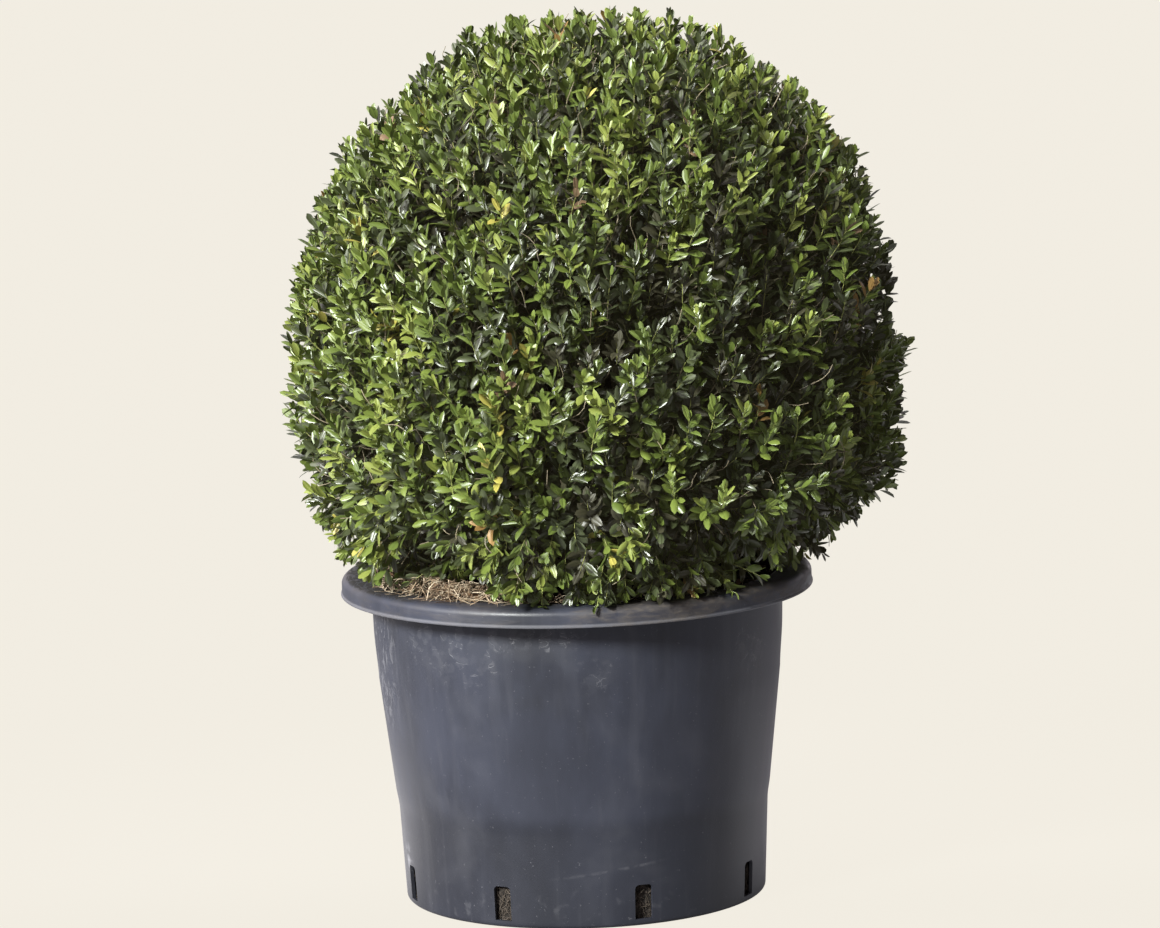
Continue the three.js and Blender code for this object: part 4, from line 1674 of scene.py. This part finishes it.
def aim_camera(stage):
    """The camera at its distance and height from the aim."""
    camera = bpy.data.objects.new("camera", bpy.data.cameras.new("camera"))
    camera.data.sensor_width = 36
    camera.data.lens = stage.lens
    camera.data.clip_end = 200
    height = stage.camera_height
    back = Vector((0, -math.cos(height), math.sin(height)))
    look = (-back).to_track_quat("-Z", "Y").to_matrix().to_4x4()
    roll = Matrix.Rotation(stage.camera_roll, 4, "Z")
    place_of_lens = Vector(stage.aim) + back * stage.camera_distance
    camera.matrix_world = Matrix.Translation(place_of_lens) @ look @ roll
    bpy.context.scene.collection.objects.link(camera)
    bpy.context.scene.camera = camera


def add_key_light(stage):
    """The main light, broad and soft, from the upper left in front."""
    light = bpy.data.lights.new("key", "SUN")
    light.energy = stage.key_strength
    light.angle = stage.key_size
    light.color = stage.key_colour
    lamp = bpy.data.objects.new("key", light)
    height = math.sin(stage.key_height)
    source = around_axis(math.cos(stage.key_height), stage.key_turn, height)
    lamp.rotation_euler = Vector(source).to_track_quat("Z", "Y").to_euler()
    bpy.context.scene.collection.objects.link(lamp)


def side_share(tree, direction, way, low, high):
    """How far a direction faces a way, from 0 below low to 1 above high."""
    facing = add_node(tree, "ShaderNodeVectorMath", {0: direction, 1: way}, operation="DOT_PRODUCT")
    return between(tree, facing.outputs["Value"], low, high)


UPPER_LEFT = (-0.64, -0.22, 0.74)
BEHIND = (0.0, 1.0, 0.0)


def set_world(stage):
    """Cream to the camera, and to everything else a soft light from the upper left and from behind."""
    world = bpy.data.worlds.new("studio")
    world.use_nodes = True
    tree = world.node_tree
    seen = tree.nodes["Background"]
    seen.inputs["Color"].default_value = opaque(stage.backdrop)
    direction = add_node(tree, "ShaderNodeTexCoord").outputs["Generated"]
    side = side_share(tree, direction, UPPER_LEFT, 0.55, 1.0)
    back = side_share(tree, direction, BEHIND, 0.45, 0.98)
    strength = calculate(tree, "ADD", product(tree, side, stage.side_fill), stage.fill)
    strength = calculate(tree, "ADD", product(tree, back, stage.back_fill), strength)
    soft_light = {"Color": opaque(stage.fill_colour), "Strength": strength}
    fill = add_node(tree, "ShaderNodeBackground", soft_light)
    to_camera = add_node(tree, "ShaderNodeLightPath").outputs["Is Camera Ray"]
    choice = add_node(tree, "ShaderNodeMixShader", {"Fac": to_camera})
    tree.links.new(fill.outputs[0], choice.inputs[1])
    tree.links.new(seen.outputs[0], choice.inputs[2])
    tree.links.new(choice.outputs[0], tree.nodes["World Output"].inputs["Surface"])
    bpy.context.scene.world = world


def add_floor(stage):
    """A wide pale floor that keeps a faint shadow and sends a little light back up.

    To the camera it is nearly all the backdrop's colour, so that it has no far edge."""
    material, tree, shader = new_material("studio floor")
    spot, _ = surface_place(tree)
    behind = between(tree, axis_of(tree, spot, "Y"), -0.15, 0.15)
    near = between(tree, length_of(tree, spot), 0.3, 1.1, 0.62, 0.04)
    bounced = calculate(tree, "ADD", product(tree, behind, near), 0.20)
    tone = mix_colours(tree, bounced, opaque((0.0, 0.0, 0.0)), opaque((0.84, 0.83, 0.86)))
    tree.links.new(tone, shader.inputs["Emission Color"])
    shader.inputs["Emission Strength"].default_value = stage.floor_glow
    tree.links.new(tone, shader.inputs["Base Color"])
    shader.inputs["Roughness"].default_value = 0.9
    shader.inputs["Specular IOR Level"].default_value = 0.0
    glow = add_node(tree, "ShaderNodeEmission", {"Color": opaque(stage.backdrop), "Strength": 1.004})
    to_camera = add_node(tree, "ShaderNodeLightPath").outputs["Is Camera Ray"]
    choice = add_node(tree, "ShaderNodeMixShader", {"Fac": product(tree, to_camera, 0.985)})
    tree.links.new(shader.outputs[0], choice.inputs[1])
    tree.links.new(glow.outputs[0], choice.inputs[2])
    tree.links.new(choice.outputs[0], tree.nodes["Material Output"].inputs["Surface"])
    size = 40
    corners = np.array([(x * size, y * size, -0.0005) for x, y in ((-1, -1), (1, -1), (1, 1), (-1, 1))])
    floor = mesh_piece("floor", corners, np.array([[0, 1, 2, 3]]), [material])


# ---------- operators ----------


class MakePot(bpy.types.Operator):
    """Make the moulded pot with its turned-down rim and drainage slots"""

    bl_idname = "box_ball.pot"
    bl_label = "Pot"

    def execute(self, context):
        pot = context.scene.box_ball_pot
        points, faces = pot_mesh(pot)
        piece = mesh_piece("nursery_pot", points, faces, [plastic_material(pot)])
        close_and_crease(piece, 35)
        settle(piece, "pot_plastic", "pot_wall", "pot_rim", "pot_skirt")
        return {"FINISHED"}


class MakeRootBall(bpy.types.Operator):
    """Make the crumbly root ball and the fibres behind the slots"""

    bl_idname = "box_ball.root_ball"
    bl_label = "Root Ball"

    def execute(self, context):
        soil = context.scene.box_ball_soil
        rng = np.random.default_rng(soil.seed)
        points, faces = root_ball_mesh(soil, rng)
        peat = mesh_piece("peat", points, faces, [peat_material(soil)])
        close_and_crease(peat, 60)
        settle(peat, "soil", "root_ball")
        points, faces = root_fibres(soil, rng)
        brown = [plain_material("root fibre", soil.root_fibre, 0.8)]
        settle(mesh_piece("root_fibres", points, faces, brown), "soil", "root_ball")
        return {"FINISHED"}


class MakeLitter(bpy.types.Operator):
    """Scatter the dry straws and old leaves that lie on the root ball"""

    bl_idname = "box_ball.litter"
    bl_label = "Litter"

    def execute(self, context):
        soil = context.scene.box_ball_soil
        rng = np.random.default_rng(soil.seed + 1)
        points, faces, tones = straw_mesh(soil, rng)
        straws = mesh_piece("straws", points, faces, tone_materials(soil, STRAW_FINISHES), tones)
        settle(straws, "soil", "root_ball")
        points, faces, normals = old_leaf_mesh(soil, context.scene.box_ball_plant, rng)
        brown = [plain_material("old leaf", soil.old_leaf, 0.65)]
        old_leaves = mesh_piece("old_leaves", points, faces, brown, normals=normals)
        settle(old_leaves, "soil", "root_ball")
        return {"FINISHED"}


class MakeBoughs(bpy.types.Operator):
    """Grow the stem and the boughs, with the relief of their bark"""

    bl_idname = "box_ball.boughs"
    bl_label = "Stem and Boughs"

    def execute(self, context):
        plant = context.scene.box_ball_plant
        points, faces = bough_mesh(plant, grown_plant().limbs)
        settle(mesh_piece("stem_and_boughs", points, faces, [bark_material(plant)]), "bark", "stem")
        return {"FINISHED"}


class MakeTwigs(bpy.types.Operator):
    """Grow the twigs and the stalks that carry the leaves"""

    bl_idname = "box_ball.twigs"
    bl_label = "Twigs"

    def execute(self, context):
        plant = context.scene.box_ball_plant
        growth = grown_plant()
        materials = tone_materials(plant, TWIG_FINISHES)
        bare = [bare_twigs(plant, spray) for spray in growth.sprays if not spray.kind.pairs]
        leafy = [leafy_stalks(plant, spray) for spray in growth.sprays if spray.kind.pairs]
        for name, parts in (("twigs", [limb_twigs(plant, growth.limbs), *bare]), ("stalks", leafy)):
            points, faces = joined([part[:2] for part in parts])
            tones = np.concatenate([part[2] for part in parts])
            twigs = mesh_piece(name, off_the_rim(points), faces, materials, tones)
            settle(twigs, "bark", "foliage_ball")
        return {"FINISHED"}


class MakeLeaves(bpy.types.Operator):
    """Grow the leaves in crosswise pairs up every spray"""

    bl_idname = "box_ball.leaves"
    bl_label = "Leaves"

    most_triangles: count("Most triangles", 180000, "Most triangles in one joined piece of leaves")

    def execute(self, context):
        plant = context.scene.box_ball_plant
        rng = np.random.default_rng(plant.seed + 1)
        materials = tone_materials(plant, LEAF_FINISHES)
        made = 0
        for spray in grown_plant().sprays:
            if not spray.kind.pairs:
                continue
            leaves, tones = spray_leaves(spray, plant, rng)
            triangles = 4 * len(spray.kind.outline)
            at_once = self.most_triangles // triangles
            for first in range(0, len(tones), at_once):
                chosen = some_leaves(leaves, first, first + at_once)
                points, faces, normals = leaf_mesh(chosen, spray.kind.outline)
                made += 1
                points = off_the_rim(points)
                face_tones = np.repeat(tones[first : first + at_once], triangles)
                piece = mesh_piece(f"leaves_{made}", points, faces, materials, face_tones, normals)
                settle(piece, "foliage", "foliage_ball")
        if not made:
            raise RuntimeError("no spray has any leaves")
        return {"FINISHED"}


class SetStage(bpy.types.Operator):
    """Set the camera, the soft studio lights and the pale floor"""

    bl_idname = "box_ball.stage"
    bl_label = "Stage"

    def execute(self, context):
        stage = context.scene.box_ball_stage
        aim_camera(stage)
        add_key_light(stage)
        set_world(stage)
        add_floor(stage)
        context.scene.view_settings.view_transform = "Standard"
        return {"FINISHED"}


STEPS = (
    (MakePot, "box_ball_pot"),
    (MakeRootBall, "box_ball_soil"),
    (MakeLitter, "box_ball_soil"),
    (MakeBoughs, "box_ball_plant"),
    (MakeTwigs, "box_ball_plant"),
    (MakeLeaves, "box_ball_plant"),
    (SetStage, "box_ball_stage"),
)
SETTINGS = {
    "box_ball_pot": PotSettings,
    "box_ball_soil": SoilSettings,
    "box_ball_plant": PlantSettings,
    "box_ball_stage": StageSettings,
}


class BoxBallPanel(bpy.types.Panel):
    """Lists the steps and, under them, the settings they read"""

    bl_idname = "VIEW3D_PT_box_ball"
    bl_label = "Potted Box Ball"
    bl_space_type = "VIEW_3D"
    bl_region_type = "UI"
    bl_category = "Box Ball"

    def draw(self, context):
        for step, _ in STEPS:
            self.layout.operator(step.bl_idname)
        for name, group in SETTINGS.items():
            box = self.layout.box()
            box.label(text=group.__doc__)
            for setting in group.__annotations__:
                box.prop(getattr(context.scene, name), setting)


def register():
    """Registers the settings, the steps and the panel."""
    for group in SETTINGS.values():
        bpy.utils.register_class(group)
    for step, _ in STEPS:
        bpy.utils.register_class(step)
    bpy.utils.register_class(BoxBallPanel)
    for name, group in SETTINGS.items():
        setattr(bpy.types.Scene, name, PointerProperty(type=group))


def unregister():
    """Takes them away again, in the opposite order."""
    for name in SETTINGS:
        delattr(bpy.types.Scene, name)
    bpy.utils.unregister_class(BoxBallPanel)
    for step, _ in reversed(STEPS):
        bpy.utils.unregister_class(step)
    for group in reversed(SETTINGS.values()):
        bpy.utils.unregister_class(group)


def main():
    """Makes every piece and the stage."""
    register()
    for step, _ in STEPS:
        family, name = step.bl_idname.split(".")
        getattr(getattr(bpy.ops, family), name)()


if __name__ == "__main__":
    main()
